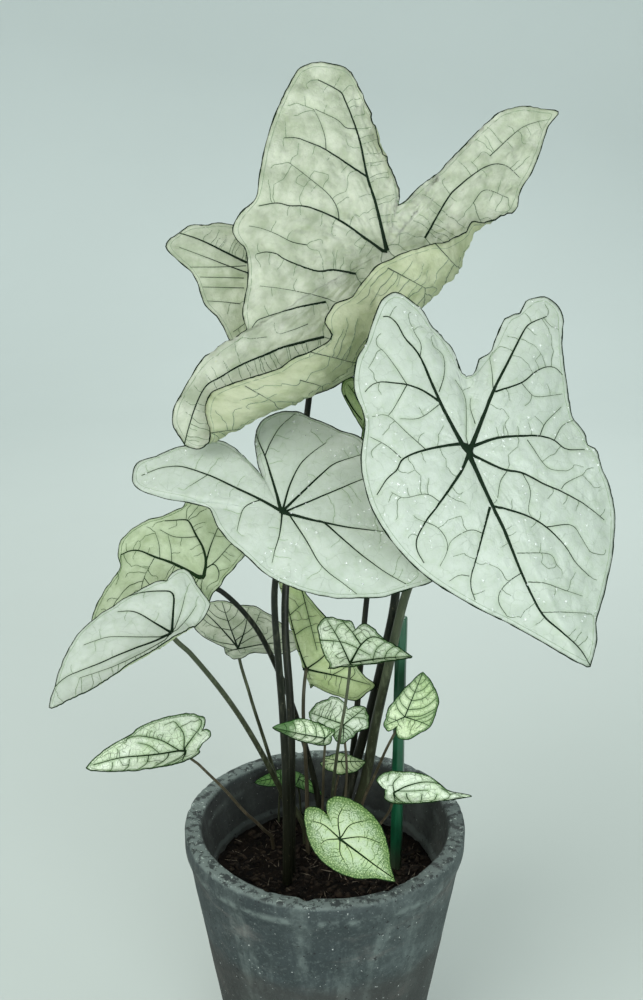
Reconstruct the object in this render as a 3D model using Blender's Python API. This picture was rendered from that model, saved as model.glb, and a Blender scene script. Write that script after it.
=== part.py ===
"""White caladium in a round dark pot: pot, soil, support stake, leaf stalks and leaf blades.

Lengths are metres unless a name says mm, angles are degrees, +Z is up. The origin is the
middle of the pot's base and the plant's open side faces -Y.
"""
import math
import random

import bpy
import numpy as np

# Pot
POT_HEIGHT = 0.250
RIM_RADIUS = 0.130
RIM_WALL = 0.015
COLLAR_DEPTH = 0.018
COLLAR_STEP = 0.0045
COLLAR_SLOPE = 0.014
BASE_RADIUS = 0.091
BASE_CHAMFER = 0.003
FLOOR = 0.020
INNER_BASE_RADIUS = 0.077
ROUND_SIDES = 56
RIM_WAVE = 0.0007
EDGE_ROUND = 0.002

# Soil
SOIL_TOP = 0.190
SOIL_RINGS = 7
SOIL_BUMP = 0.0022
GAP = 0.0003
STALK_DEPTH = 0.024
FOOT_RING, FOOT_UPRIGHT, FOOT_BEND = 0.002, 0.006, 0.014
CUTTER_RISE = 0.020

# Support stake
STAKE_PLACE = (0.068, 0.012)
STAKE_TOP = 0.452
STAKE_RADIUS = 0.0058
STAKE_SIDES = 6
STAKE_DEPTH = 0.055
STAKE_POINT = 0.010
STAKE_TURN = 12

# Leaves
BIG_BLADE = 0.0008
SMALL_BLADE = 0.0006
RIB_STEPS = 32
FEWEST_RINGS, MOST_RINGS = 8, 16
RING_SPACING = 0.035

SEED = 11

COLOURS = {
    "pot": ((0.060, 0.068, 0.070), 0.85),
    "soil": ((0.022, 0.015, 0.011), 0.95),
    "stake": ((0.008, 0.095, 0.045), 0.40),
    "stalk_dark": ((0.012, 0.014, 0.010), 0.45),
    "stalk_olive": ((0.070, 0.065, 0.035), 0.50),
    "stalk_brown": ((0.095, 0.080, 0.060), 0.55),
    "blade_white": ((0.700, 0.790, 0.690), 0.50),
    "blade_green": ((0.420, 0.600, 0.320), 0.50),
    "blade_dark": ((0.060, 0.180, 0.040), 0.50),
}


class Leaf:
    """One leaf: where its blade joins the stalk, how it is turned, its outline and its bends.

    outline rows are (bearing, reach in mm) seen from the joint, bearing 0 at the tip and
    growing towards the blade's left side; shape rows are (bearing, lift, curl) of the ribs.
    arrive tells how much the stalk's end points along the blade's normal, upwards and to the
    blade's left.
    """

    def __init__(self, name, joint, turn, outline, shape, sinus, stalk, colour, stalk_colour,
                 sectors=36, rings=5, thick=SMALL_BLADE, flat=0.006, ripple=(0.0, 0, 0), rolls=(),
                 arrive=(0.8, 0.6, 0.0)):
        self.name = name
        self.joint = np.array(joint) / 1000.0
        self.outline = outline
        self.shape = shape
        self.sinus = sinus
        self.stalk = stalk
        self.colour = colour
        self.stalk_colour = stalk_colour
        self.sectors = sectors
        self.rings = rings
        self.thick = thick
        self.flat = flat
        self.ripple = ripple
        self.rolls = rolls
        self.arrive = arrive
        self.tip, self.side, self.normal = blade_axes(*turn)


def blade_axes(heading, droop, roll):
    """Tip direction, left side and upper-face normal of a blade."""
    h, d, r = (math.radians(a) for a in (heading, droop, roll))
    tip = np.array([math.cos(h) * math.cos(d), math.sin(h) * math.cos(d), -math.sin(d)])
    up = np.array([math.cos(h) * math.sin(d), math.sin(h) * math.sin(d), math.cos(d)])
    normal = up * math.cos(r) + np.cross(up, tip) * math.sin(r)
    return tip, np.cross(normal, tip), normal


def round_curve(rows, column, corners, x):
    """Shape-keeping cubic through rows that close on themselves after a full turn."""
    knots = np.array([row[0] for row in rows], float)
    values = np.array([row[column] for row in rows], float)
    gap = np.diff(np.append(knots, knots[0] + 360.0))
    slope = np.diff(np.append(values, values[0])) / gap
    before = np.roll(slope, 1)
    gap_before = np.roll(gap, 1)
    same = before * slope > 0
    w1 = 2 * gap + gap_before
    w2 = gap + 2 * gap_before
    mid = np.where(same, (w1 + w2) / (w1 / np.where(same, before, 1) + w2 / np.where(same, slope, 1)), 0)
    arrive = mid.copy()
    leave = mid.copy()
    for k, knot in enumerate(knots):
        if knot in corners:
            arrive[k] = slope[k - 1]
            leave[k] = slope[k]
    x = (np.asarray(x, float) - knots[0]) % 360.0 + knots[0]
    k = np.clip(np.searchsorted(knots, x, side="right") - 1, 0, len(knots) - 1)
    after = (k + 1) % len(knots)
    s = (x - knots[k]) / gap[k]
    return ((1 + 2 * s) * (1 - s) ** 2 * values[k] + s * (1 - s) ** 2 * gap[k] * leave[k]
            + s * s * (3 - 2 * s) * values[after] + s * s * (s - 1) * gap[k] * arrive[after])


def rib_profile(reach, lift, curl, flat):
    """Out and up distances at even steps along each rib; the blade is flat at its joint."""
    mid = (np.arange(RIB_STEPS) + 0.5) / RIB_STEPS
    ease = np.clip(mid[None, :] * reach[:, None] / flat, 0.0, 1.0)
    ease = ease * ease * (3 - 2 * ease)
    angle = np.radians((lift[:, None] + curl[:, None] * mid[None, :]) * ease)
    step = reach[:, None] / RIB_STEPS
    zero = np.zeros((len(reach), 1))
    out = np.concatenate([zero, np.cumsum(np.cos(angle) * step, 1)], 1)
    up = np.concatenate([zero, np.cumsum(np.sin(angle) * step, 1)], 1)
    return out, up


def roll_over(local, bearing, axis, start, radius, most, window):
    """Roll the sheet over a line at `axis`; start and radius are (place mm, mm) rows along it.

    The part to the left of the line turns up to `most` degrees, downwards where that is negative.
    """
    a = math.radians(axis)
    ax, ay = math.cos(a), math.sin(a)
    along = local[:, 0] * ax + local[:, 1] * ay
    across = -local[:, 0] * ay + local[:, 1] * ax
    begin = np.interp(along * 1000, [row[0] for row in start], [row[1] for row in start]) / 1000
    size = np.interp(along * 1000, [row[0] for row in radius], [row[1] for row in radius]) / 1000
    inside = (bearing >= window[0]) & (bearing <= window[1])
    past = np.where(inside, np.maximum(across - begin, 0.0), 0.0)
    turn = np.minimum(past / size, math.radians(abs(most)))
    rest = past - turn * size
    y = across - past + size * np.sin(turn) + rest * np.cos(turn)
    lifted = size * (1 - np.cos(turn)) + rest * np.sin(turn)
    z = local[:, 2] + math.copysign(1.0, most) * lifted
    return np.stack([along * ax - y * ay, along * ay + y * ax, z], -1)


def blade_points(leaf, bearing, u):
    """World points of the blade's middle sheet; u runs from the joint (0) to the margin (1)."""
    bearing = np.atleast_1d(np.asarray(bearing, float))
    u = np.atleast_1d(np.asarray(u, float))
    reach = round_curve(leaf.outline, 1, (0, leaf.sinus), bearing) / 1000.0
    lift = round_curve(leaf.shape, 1, (), bearing)
    curl = round_curve(leaf.shape, 2, (), bearing)
    out, up = rib_profile(reach, lift, curl, leaf.flat)
    place = np.clip(u, 0, 1) * RIB_STEPS
    k = np.minimum(place.astype(int), RIB_STEPS - 1)
    t = place - k
    row = np.arange(len(bearing))
    o = out[row, k] * (1 - t) + out[row, k + 1] * t
    z = up[row, k] * (1 - t) + up[row, k + 1] * t
    size, waves, phase = leaf.ripple
    angle = np.radians(bearing)
    z = z + size / 1000 * u ** 3 * np.sin(waves * angle + math.radians(phase)) * np.abs(np.sin(angle))
    local = np.stack([o * np.cos(angle), o * np.sin(angle), z], -1)
    for roll in leaf.rolls:
        local = roll_over(local, bearing, *roll)
    return leaf.joint + local[:, :1] * leaf.tip + local[:, 1:2] * leaf.side + local[:, 2:] * leaf.normal


def even_bearings(leaf, count):
    """Bearings that share out the margin's length evenly, with the tip and the sinus kept."""
    sinus = leaf.sinus % 360
    found = []
    for begin, end in ((0.0, sinus), (sinus, 360.0)):
        fine = np.linspace(begin, end, 400)
        signed = np.where(fine > 180, fine - 360, fine)
        edge = blade_points(leaf, signed, np.ones(len(fine)))
        length = np.concatenate([[0], np.cumsum(np.linalg.norm(np.diff(edge, axis=0), axis=1))])
        found.append((length, signed))
    total = found[0][0][-1] + found[1][0][-1]
    first = max(8, round(count * found[0][0][-1] / total))
    bearings = []
    for (length, signed), share in zip(found, (first, count - first)):
        fine = np.unwrap(signed, period=360)
        bearings.extend(np.interp(np.linspace(0, length[-1], share + 1)[:-1], length, fine))
    bearings = np.array(bearings)
    return (bearings + 180) % 360 - 180


def stalk_end(leaf):
    """Middle of the stalk's top, just under the blade, and the way it points there."""
    square, upright, aside = leaf.arrive
    way = leaf.normal * square + np.array([0, 0, upright]) + leaf.side * aside
    way = way / np.linalg.norm(way)
    return leaf.joint - leaf.normal * (leaf.thick / 2 + GAP), way


def stalk_path(leaf, count):
    """Even points along a stalk: upright in the soil, through its own points, up to the blade."""
    base, middle = leaf.stalk["base"], leaf.stalk["through"]
    end, way = stalk_end(leaf)
    foot = np.array([base[0] / 1000, base[1] / 1000, SOIL_TOP - STALK_DEPTH])
    collar = foot + np.array([0, 0, STALK_DEPTH + FOOT_UPRIGHT])
    knots = [foot, collar] + [np.array(p) / 1000.0 for p in middle] + [end]
    knots = np.array(knots)
    steps = np.linalg.norm(np.diff(knots, axis=0), axis=1)
    slopes = np.zeros_like(knots)
    slopes[0] = slopes[1] = (0, 0, 1)
    slopes[-1] = way
    for k in range(2, len(knots) - 1):
        before = (knots[k] - knots[k - 1]) / steps[k - 1]
        after = (knots[k + 1] - knots[k]) / steps[k]
        slopes[k] = (before * steps[k] + after * steps[k - 1]) / (steps[k] + steps[k - 1])
    fine = []
    for k, size in enumerate(steps):
        s = np.linspace(0, 1, 25)[:, None]
        fine.append(((1 + 2 * s) * (1 - s) ** 2 * knots[k] + s * (1 - s) ** 2 * size * slopes[k]
                     + s * s * (3 - 2 * s) * knots[k + 1] + s * s * (s - 1) * size * slopes[k + 1])[:-1])
    fine = np.concatenate(fine + [knots[-1:]])
    length = np.concatenate([[0], np.cumsum(np.linalg.norm(np.diff(fine, axis=0), axis=1))])
    free = np.linspace(STALK_DEPTH + FOOT_BEND, length[-1], count - 2)
    places = np.concatenate([[0, STALK_DEPTH + FOOT_RING], free])
    return np.stack([np.interp(places, length, fine[:, k]) for k in range(3)], -1), places / length[-1]


# Whole leaves, tallest first
BIG = dict(sectors=44, rings=6, thick=BIG_BLADE, flat=0.012)
MEDIUM = dict(sectors=34, rings=5, thick=BIG_BLADE, flat=0.008)

LEAVES = [
    Leaf("crown", (49, 0, 777), (-160, 40, 63), sinus=-148,
         outline=[(-148, 37), (-145, 54), (-142, 70), (-139, 84), (-134, 99), (-129, 114), (-125, 134),
                  (-121, 156), (-115, 162), (-110, 161), (-105, 150), (-98, 140), (-90, 132), (-83, 125),
                  (-75, 116), (-68, 114), (-59, 121), (-52, 124), (-44, 113), (-35, 114), (-28, 119),
                  (-22, 124), (-16, 128), (-14, 136), (-13, 176), (-11, 190), (-9, 201), (-7, 213),
                  (-4, 222), (0, 226), (4, 218), (10, 209), (16, 204), (22, 197), (28, 184),
                  (34, 170), (44, 152), (51, 138), (56, 145), (62, 143), (67, 135), (77, 135), (85, 130),
                  (93, 122), (100, 115), (108, 103), (126, 88), (140, 88), (152, 101), (160, 117),
                  (166, 142), (171, 153), (174, 166), (176, 178), (180, 169), (184, 155), (187, 138),
                  (189, 108), (192, 77), (197, 62), (202, 50), (206, 42)],
         shape=[(-144, 2, -4), (-116, 3, -12), (-90, 4, -10), (-40, 4, -14), (0, 4, -14), (90, 0, 0),
                (170, 4, -10)],
         rolls=[(0, [(-96, 48), (-88, 38), (-58, 23), (-23, 27), (10, 27), (107, 23), (130, 22), (180, 11),
                     (213, 5)],
                 [(-96, 6), (-88, 8), (-58, 17), (-23, 27), (10, 28), (107, 25), (180, 12), (213, 9)],
                 180, (0, 180)),
                (62, [(-150, 9), (-122, 11), (-98, 12), (-80, 13), (-60, 15), (-36, 21)],
                 [(-150, 6), (-120, 7)], 165, (-148, -100))],
         ripple=(2.0, 9, 20), sectors=60, rings=8, thick=BIG_BLADE, flat=0.012,
         stalk=dict(base=(10, 45), through=[(22, 46, 249), (43, 42, 342), (53, 34, 398), (63, 22, 469),
                                            (59, 10, 560), (53, 6, 690)], radius=(5.5, 2.8)),
         colour="blade_white", stalk_colour="stalk_dark"),
    Leaf("back", (-3, 60, 726), (-121, 64, 38), sinus=-165,
         outline=[(-165, 40), (-150, 55), (-135, 75), (-125, 90), (-118, 100), (-114, 112), (-110, 121),
                  (-106, 133), (-101, 139), (-96, 143), (-92, 128), (-88, 112), (-82, 105), (-74, 101),
                  (-66, 91), (-50, 86), (-30, 82), (-12, 80), (0, 88), (20, 76), (45, 70), (75, 72),
                  (100, 80), (120, 92), (138, 104), (150, 92), (165, 68), (180, 50)],
         shape=[(-165, 0, -10), (-100, 4, -26), (-40, 2, -10), (0, 0, -6), (60, 2, -8), (140, 4, -22)],
         ripple=(2.5, 11, 40), **MEDIUM,
         stalk=dict(base=(-32, 4), through=[(-31, 4, 269), (-31, 4, 355), (-35, 16, 471), (-25, 38, 553),
                                           (-15, 52, 632)], radius=(4.6, 2.5)),
         colour="blade_white", stalk_colour="stalk_dark"),
    Leaf("right", (102, -160, 660), (-34, 54, -37), sinus=150,
         outline=[(-170, 112), (-160, 104), (-150, 93), (-140, 80), (-120, 77), (-100, 81), (-80, 84),
                  (-60, 89), (-40, 98), (-25, 113), (-14, 126), (-5, 146), (0, 183), (7, 168), (14, 147),
                  (22, 141), (30, 130), (40, 123), (50, 112), (60, 103), (67, 93), (80, 89), (95, 96),
                  (107, 116), (114, 135), (120, 141), (125, 132), (131, 105), (136, 77), (143, 68),
                  (150, 56), (156, 71), (162, 92), (168, 117), (174, 130), (180, 126)],
         shape=[(-90, 8, -26), (0, 6, -26), (90, 8, -26), (180, 4, -22)],
         ripple=(1.5, 8, 0), **BIG,
         stalk=dict(base=(26, 48), through=[(39, 42, 268), (48, 26, 341), (57, 0, 410), (69, -28, 493),
                                           (90, -72, 572)], radius=(5.8, 3.0)),
         colour="blade_white", stalk_colour="stalk_olive"),
    Leaf("middle", (-34, -90, 588), (-23, 14, -38), sinus=141,
         outline=[(-178, 133), (-172, 130), (-168, 121), (-166, 100), (-165, 80), (-160, 58), (-144, 52),
                  (-107, 45), (-72, 53), (-46, 68), (-29, 83), (-21, 93), (-13, 106), (-6, 116), (0, 128),
                  (2, 131), (5, 126), (10, 112), (22, 94), (38, 88), (58, 91), (69, 95), (77, 99), (89, 95),
                  (103, 98), (111, 104), (119, 102), (127, 97), (133, 84), (137, 62), (141, 32), (145, 52),
                  (149, 78), (153, 92), (160, 99), (169, 113), (176, 122)],
         shape=[(-180, 6, -20), (-130, 5, -10), (-90, 5, -30), (-45, 5, -45), (0, 6, -30), (90, 5, -24)],
         ripple=(1.2, 7, 60), **BIG,
         stalk=dict(base=(-35, -12), through=[(-35, -14, 291), (-37, -20, 366), (-40, -34, 432),
                                             (-42, -56, 500)], radius=(4.6, 2.5)),
         colour="blade_white", stalk_colour="stalk_dark"),
    Leaf("rear_right", (59, 50, 604), (-69, 73, -25), sinus=180,
         outline=[(-165, 52), (-154, 67), (-147, 70), (-141, 66), (-137, 58), (-132, 46), (-126, 37),
                  (-113, 28), (-80, 28), (-60, 32), (-40, 40), (-20, 50), (0, 66), (20, 50), (40, 44),
                  (70, 42), (100, 46), (125, 56), (145, 70), (160, 58), (170, 42), (180, 26)],
         shape=[(-90, 2, -20), (0, 0, -30), (90, 2, -20), (180, 0, -20)],
         ripple=(1.5, 9, 0), **MEDIUM,
         stalk=dict(base=(17, 64), through=[(27, 64, 280), (34, 66, 376), (39, 67, 444), (50, 66, 540)],
                    radius=(3.6, 2.2)),
         colour="blade_green", stalk_colour="stalk_dark"),
    Leaf("left_rear", (-104, -30, 507), (-161, 24, 43), sinus=-135,
         outline=[(-174, 48), (-160, 80), (-150, 88), (-142, 84), (-135, 76), (-126, 80), (-111, 84),
                  (-103, 73), (-89, 73), (-75, 80), (-59, 86), (-51, 83), (-42, 75), (-32, 82), (-26, 89),
                  (-17, 99), (0, 112), (11, 98), (25, 72), (45, 50), (65, 34), (92, 22), (132, 19),
                  (174, 32)],
         shape=[(-90, 5, -25), (0, 5, -30), (90, 5, -10), (180, 0, -20)],
         rolls=[(0, [(-60, 1), (-20, 1), (0, 3), (30, 5), (80, 4), (112, 1)],
                 [(-60, 3), (-12, 6), (10, 9), (60, 9), (110, 4)], 20, (0, 180))],
         ripple=(1.6, 8, 0), **MEDIUM,
         stalk=dict(base=(-3, 52), through=[(-22, 42, 318), (-42, 24, 391), (-66, 0, 455), (-88, -20, 490)],
                    radius=(3.4, 2.2)),
         colour="blade_white", stalk_colour="stalk_dark"),
    Leaf("left_front", (-124, -90, 485), (-163, 24, 45), sinus=-111,
         outline=[(-175, 34), (-168, 40), (-155, 42), (-143, 46), (-132, 54), (-125, 57), (-118, 54),
                  (-111, 46), (-100, 48), (-81, 49), (-61, 55), (-43, 68), (-34, 78), (-26, 87), (-18, 95),
                  (-9, 106), (0, 119), (9, 106), (18, 92), (34, 72), (61, 49), (90, 36), (120, 27),
                  (150, 23), (170, 25)],
         shape=[(-90, 5, -25), (0, 5, -30), (90, 5, -10), (180, 0, -20)],
         rolls=[(0, [(-40, 1), (-10, 2), (20, 3), (80, 3), (110, 1)], [(-40, 4), (0, 6), (70, 7), (110, 3)],
                 74, (0, 180))],
         ripple=(1.4, 9, 0), **MEDIUM,
         stalk=dict(base=(-18, 50), through=[(-43, 41, 259), (-60, 20, 312), (-79, -14, 372),
                                             (-111, -72, 457)], radius=(3.2, 2.1)),
         colour="blade_white", stalk_colour="stalk_olive"),
    Leaf("rear_left", (-80, 45, 404), (109, -23, 8), sinus=-165,
         outline=[(-165, 10), (-140, 11), (-113, 16), (-107, 48), (-100, 57), (-90, 58), (-73, 52),
                  (-51, 52), (-27, 55), (-15, 55), (0, 63), (9, 65), (22, 61), (37, 54), (44, 42),
                  (52, 24), (66, 13), (100, 12), (138, 11)],
         shape=[(-90, 5, -20), (0, 5, -10), (90, 5, -20), (180, 0, -30)],
         ripple=(1.0, 7, 0), sectors=30, rings=4,
         stalk=dict(base=(-31, 64), through=[(-44, 63, 243), (-56, 60, 292), (-71, 53, 354)],
                    radius=(2.2, 1.5)),
         colour="blade_white", stalk_colour="stalk_olive"),
    Leaf("rear_upright", (-17, 40, 386), (155, -72, -106), sinus=180,
         outline=[(-160, 22), (-120, 24), (-90, 24), (-60, 30), (-30, 48), (-14, 80), (0, 110), (12, 84),
                  (17, 70), (40, 52), (70, 44), (100, 47), (112, 55), (118, 66), (126, 61), (139, 55),
                  (149, 38), (165, 22), (180, 16)],
         shape=[(-90, 0, 0), (0, 0, 6), (90, 0, 8), (180, 0, 0)],
         rolls=[(180, [(-110, 0), (20, 0)], [(-110, 2), (-60, 4), (20, 4)], 160, (-180, 0))],
         ripple=(1.0, 8, 0), **MEDIUM,
         stalk=dict(base=(-16, 36), through=[(-17, 38, 260)], radius=(2.4, 1.6)),
         colour="blade_green", stalk_colour="stalk_brown"),
    Leaf("centre", (21, -55, 440), (5, -6, -40), sinus=73,
         outline=[(-160, 20), (-120, 24), (-90, 26), (-50, 30), (-25, 38), (-8, 48), (0, 55), (9, 47),
                  (35, 38), (48, 39), (65, 41), (73, 34), (81, 41), (92, 43), (108, 51), (118, 48),
                  (128, 38), (150, 24), (175, 18)],
         shape=[(-90, 0, -10), (0, 3, -15), (90, 5, -20), (180, 0, -10)],
         rolls=[(180, [(-55, 0), (30, 0)], [(-55, 1.5), (-20, 3), (30, 3)], 66, (-180, 0))],
         ripple=(1.0, 9, 0), sectors=30, rings=4, arrive=(0.5, 0.8, 0.0),
         stalk=dict(base=(4, 26), through=[(6, 10, 250), (8, -14, 299), (13, -46, 366), (19, -53, 413)],
                    radius=(1.9, 1.3)),
         colour="blade_white", stalk_colour="stalk_olive"),
    Leaf("right_small", (70, -30, 375), (41, -58, -61), sinus=162,
         outline=[(-169, 20), (-155, 21), (-132, 21), (-112, 22), (-90, 27), (-61, 31), (-48, 34),
                  (-32, 37), (-8, 41), (0, 43), (17, 29), (45, 19), (73, 17), (112, 17), (134, 20),
                  (152, 20), (162, 11), (176, 16)],
         shape=[(-90, 3, -15), (0, 3, -12), (90, 3, -15), (180, 3, -15)],
         ripple=(0.4, 7, 0), sectors=30, rings=4,
         stalk=dict(base=(27, 34), through=[(36, 29, 249), (47, 10, 293), (58, -16, 341)],
                    radius=(1.7, 1.2)),
         colour="blade_green", stalk_colour="stalk_brown"),
    Leaf("centre_low", (17, -12, 357), (-95, 45, 4), sinus=169,
         outline=[(-174, 24), (-159, 29), (-134, 32), (-113, 35), (-98, 32), (-87, 22), (-54, 14), (0, 18),
                  (23, 14), (59, 14), (80, 18), (90, 23), (112, 25), (132, 27), (150, 23), (169, 15)],
         shape=[(-90, 0, -20), (0, 0, -20), (90, 0, -20), (180, 0, -20)],
         ripple=(0.6, 7, 0), sectors=26, rings=3, arrive=(0.9, 0.1, 0.0),
         stalk=dict(base=(19, 14), through=[(19, 4, 262), (20, -4, 308)], radius=(1.6, 1.1)),
         colour="blade_white", stalk_colour="stalk_brown"),
    Leaf("spear", (0, -55, 368), (173, -9, 60), sinus=-150,
         outline=[(-150, 6), (-133, 11), (-94, 10), (-49, 16), (-25, 29), (-13, 36), (0, 48), (10, 36),
                  (25, 26), (50, 16), (90, 11), (133, 8), (170, 6)],
         shape=[(-90, 5, -20), (0, 3, -10), (90, 0, 0), (180, 0, -10)],
         rolls=[(0, [(-20, 0), (50, 0)], [(-20, 2), (50, 1.5)], 60, (0, 180))],
         ripple=(0.4, 7, 0), sectors=24, rings=3, arrive=(0.5, 0.8, 0.0),
         stalk=dict(base=(-5, 28), through=[(-2, 8, 261), (-1, -32, 330)], radius=(1.5, 1.1)),
         colour="blade_dark", stalk_colour="stalk_brown"),
    Leaf("low_left", (-120, -60, 359), (-177, 8, 44), sinus=-135,
         outline=[(-165, 16), (-156, 25), (-146, 27), (-139, 26), (-135, 22), (-130, 30), (-124, 34),
                  (-106, 34), (-77, 35), (-51, 41), (-30, 51), (-17, 62), (0, 90), (12, 66), (25, 50),
                  (45, 38), (75, 30), (110, 22), (145, 16), (172, 12)],
         shape=[(-90, 5, -20), (0, 5, -20), (90, 3, -5), (180, 0, -10)],
         rolls=[(0, [(-30, 0), (10, 1), (60, 3), (88, 1)], [(-30, 2), (10, 5), (60, 6), (88, 3)], 58,
                 (0, 180))],
         ripple=(0.6, 8, 0), sectors=30, rings=4,
         stalk=dict(base=(-50, 42), through=[(-60, 30, 221), (-75, 10, 252), (-91, -14, 291),
                                             (-110, -40, 332)], radius=(1.8, 1.2)),
         colour="blade_green", stalk_colour="stalk_brown"),
    Leaf("right_low", (60, -60, 317), (0, 3, -60), sinus=160,
         outline=[(-170, 8), (-120, 14), (-60, 17), (-25, 27), (-10, 42), (0, 69), (4, 50), (12, 42),
                  (23, 36), (48, 25), (80, 19), (116, 19), (146, 19), (153, 14), (160, 8), (172, 8)],
         shape=[(-90, 0, -5), (0, 5, -12), (90, 5, -20), (180, 0, -10)],
         rolls=[(180, [(-70, 0), (-30, 1), (20, 0)], [(-70, 1.5), (-30, 4), (20, 3)], 62, (-180, 0))],
         ripple=(0.5, 8, 0), sectors=28, rings=4,
         stalk=dict(base=(38, 26), through=[(46, 2, 234), (59, -36, 286)], radius=(1.5, 1.1)),
         colour="blade_white", stalk_colour="stalk_brown"),
    Leaf("pale_low", (15, 10, 306), (0, 0, -60), sinus=180,
         outline=[(-177, 20), (-160, 17), (-122, 12), (-72, 12), (-32, 17), (0, 24), (14, 15), (50, 9),
                  (81, 8), (120, 9), (153, 12), (170, 18), (180, 12)],
         shape=[(-90, 0, -20), (0, 0, -20), (90, 0, -20), (180, 0, -20)],
         ripple=(0.5, 7, 0), sectors=22, rings=3, arrive=(0.6, 0.8, 0.0),
         stalk=dict(base=(8, 30), through=[(10, 24, 265)], radius=(1.3, 1.0)),
         colour="blade_green", stalk_colour="stalk_brown"),
    Leaf("front", (12, -100, 297), (-27, 25, -42), sinus=152,
         outline=[(-177, 36), (-161, 30), (-133, 25), (-105, 23), (-78, 24), (-45, 30), (-26, 37),
                  (-11, 44), (0, 59), (8, 50), (25, 43), (38, 40), (60, 37), (80, 35), (97, 35), (114, 36),
                  (129, 37), (142, 35), (147, 30), (152, 21), (157, 29), (165, 36), (174, 39)],
         shape=[(-90, 5, -20), (0, 5, -20), (90, 5, -20), (180, 5, -20)],
         ripple=(0.5, 8, 0), sectors=32, rings=4,
         stalk=dict(base=(12, 8), through=[(12, -20, 222), (12, -72, 272)], radius=(1.9, 1.3)),
         colour="blade_green", stalk_colour="stalk_olive"),
    Leaf("seedling_left", (-43, 79, 247), (180, 10, 20), sinus=180,
         outline=[(-150, 9), (-110, 10), (-60, 11), (-25, 17), (0, 28), (25, 17), (60, 11), (110, 10),
                  (150, 9), (180, 5)],
         shape=[(-90, 5, -20), (0, 5, -20), (90, 5, -20), (180, 0, -10)],
         ripple=(0.0, 7, 0), sectors=18, rings=3,
         stalk=dict(base=(-46, 85), through=[(-45, 84, 222)], radius=(1.2, 0.9)),
         colour="blade_dark", stalk_colour="stalk_olive"),
    Leaf("seedling_right", (-26, 82, 243), (-6, 30, -10), sinus=180,
         outline=[(-150, 9), (-110, 10), (-60, 11), (-25, 17), (0, 30), (25, 17), (60, 11), (110, 10),
                  (150, 9), (180, 5)],
         shape=[(-90, 5, -20), (0, 5, -20), (90, 5, -20), (180, 0, -10)],
         ripple=(0.0, 7, 0), sectors=18, rings=3,
         stalk=dict(base=(-24, 90), through=[(-25, 88, 222)], radius=(1.2, 0.9)),
         colour="blade_dark", stalk_colour="stalk_olive"),
]


def clear_scene():
    for item in list(bpy.data.objects):
        bpy.data.objects.remove(item, do_unlink=True)


def material(key):
    found = bpy.data.materials.get(key)
    if found:
        return found
    made = bpy.data.materials.new(key)
    made.use_nodes = True
    colour, rough = COLOURS[key]
    shader = made.node_tree.nodes["Principled BSDF"]
    shader.inputs["Base Color"].default_value = (*colour, 1.0)
    shader.inputs["Roughness"].default_value = rough
    shader.inputs["Metallic"].default_value = 0.0
    made.diffuse_color = (*colour, 1.0)
    return made


def add_object(name, mesh, colour, smooth=True):
    item = bpy.data.objects.new(name, mesh)
    bpy.context.scene.collection.objects.link(item)
    mesh.materials.append(material(colour))
    if smooth:
        mesh.shade_smooth()
    return item


def mesh_from(name, points, faces):
    mesh = bpy.data.meshes.new(name)
    mesh.from_pydata([tuple(p) for p in points], [], faces)
    mesh.update()
    return mesh


def ring_faces(rings, sides):
    """Faces between neighbouring rings of points; a ring of one point closes an end."""
    faces = []
    for lower, upper in zip(rings, rings[1:]):
        for k in range(sides):
            n = (k + 1) % sides
            if len(lower) == 1:
                faces.append((lower[0], upper[n], upper[k]))
            elif len(upper) == 1:
                faces.append((lower[k], lower[n], upper[0]))
            else:
                faces.append((lower[k], lower[n], upper[n], upper[k]))
    return faces


def lathe(name, profile, sides, wave=None):
    """Closed turned body from (radius, height) rows; a row at radius 0 becomes one point."""
    points, rings = [], []
    for row, (radius, height) in enumerate(profile):
        ring = []
        for k in range(sides if radius > 0 else 1):
            a = 2 * math.pi * k / sides
            dr, dz = wave(row, a) if wave and radius > 0 else (0.0, 0.0)
            ring.append(len(points))
            points.append(((radius + dr) * math.cos(a), (radius + dr) * math.sin(a), height + dz))
        rings.append(ring)
    return mesh_from(name, points, ring_faces(rings, sides))


def inner_radius(height):
    """Radius of the pot's inner wall."""
    share = (height - FLOOR) / (POT_HEIGHT - FLOOR)
    return INNER_BASE_RADIUS + share * (RIM_RADIUS - RIM_WALL - INNER_BASE_RADIUS)


def make_pot():
    shoulder = POT_HEIGHT - COLLAR_DEPTH - COLLAR_SLOPE
    soft = EDGE_ROUND
    profile = [
        (0.0, 0.0),
        (BASE_RADIUS - BASE_CHAMFER, 0.0),
        (BASE_RADIUS, BASE_CHAMFER),
        (RIM_RADIUS - COLLAR_STEP, shoulder),
        (RIM_RADIUS - soft / 2, shoulder + COLLAR_SLOPE),
        (RIM_RADIUS, shoulder + COLLAR_SLOPE + soft),
        (RIM_RADIUS, POT_HEIGHT - soft),
        (RIM_RADIUS - soft, POT_HEIGHT),
        (RIM_RADIUS - RIM_WALL + soft, POT_HEIGHT),
        (RIM_RADIUS - RIM_WALL, POT_HEIGHT - soft),
        (inner_radius(SOIL_TOP), SOIL_TOP),
        (INNER_BASE_RADIUS, FLOOR),
        (0.0, FLOOR),
    ]
    worn = range(5, 9)

    def wave(row, a):
        if row not in worn:
            return 0.0, 0.0
        return (RIM_WAVE * math.sin(3 * a + 0.6) * 0.6,
                RIM_WAVE * (math.sin(2 * a + 1.0) + 0.6 * math.sin(7 * a)))

    add_object("pot", lathe("pot", profile, ROUND_SIDES, wave), "pot")


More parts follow.
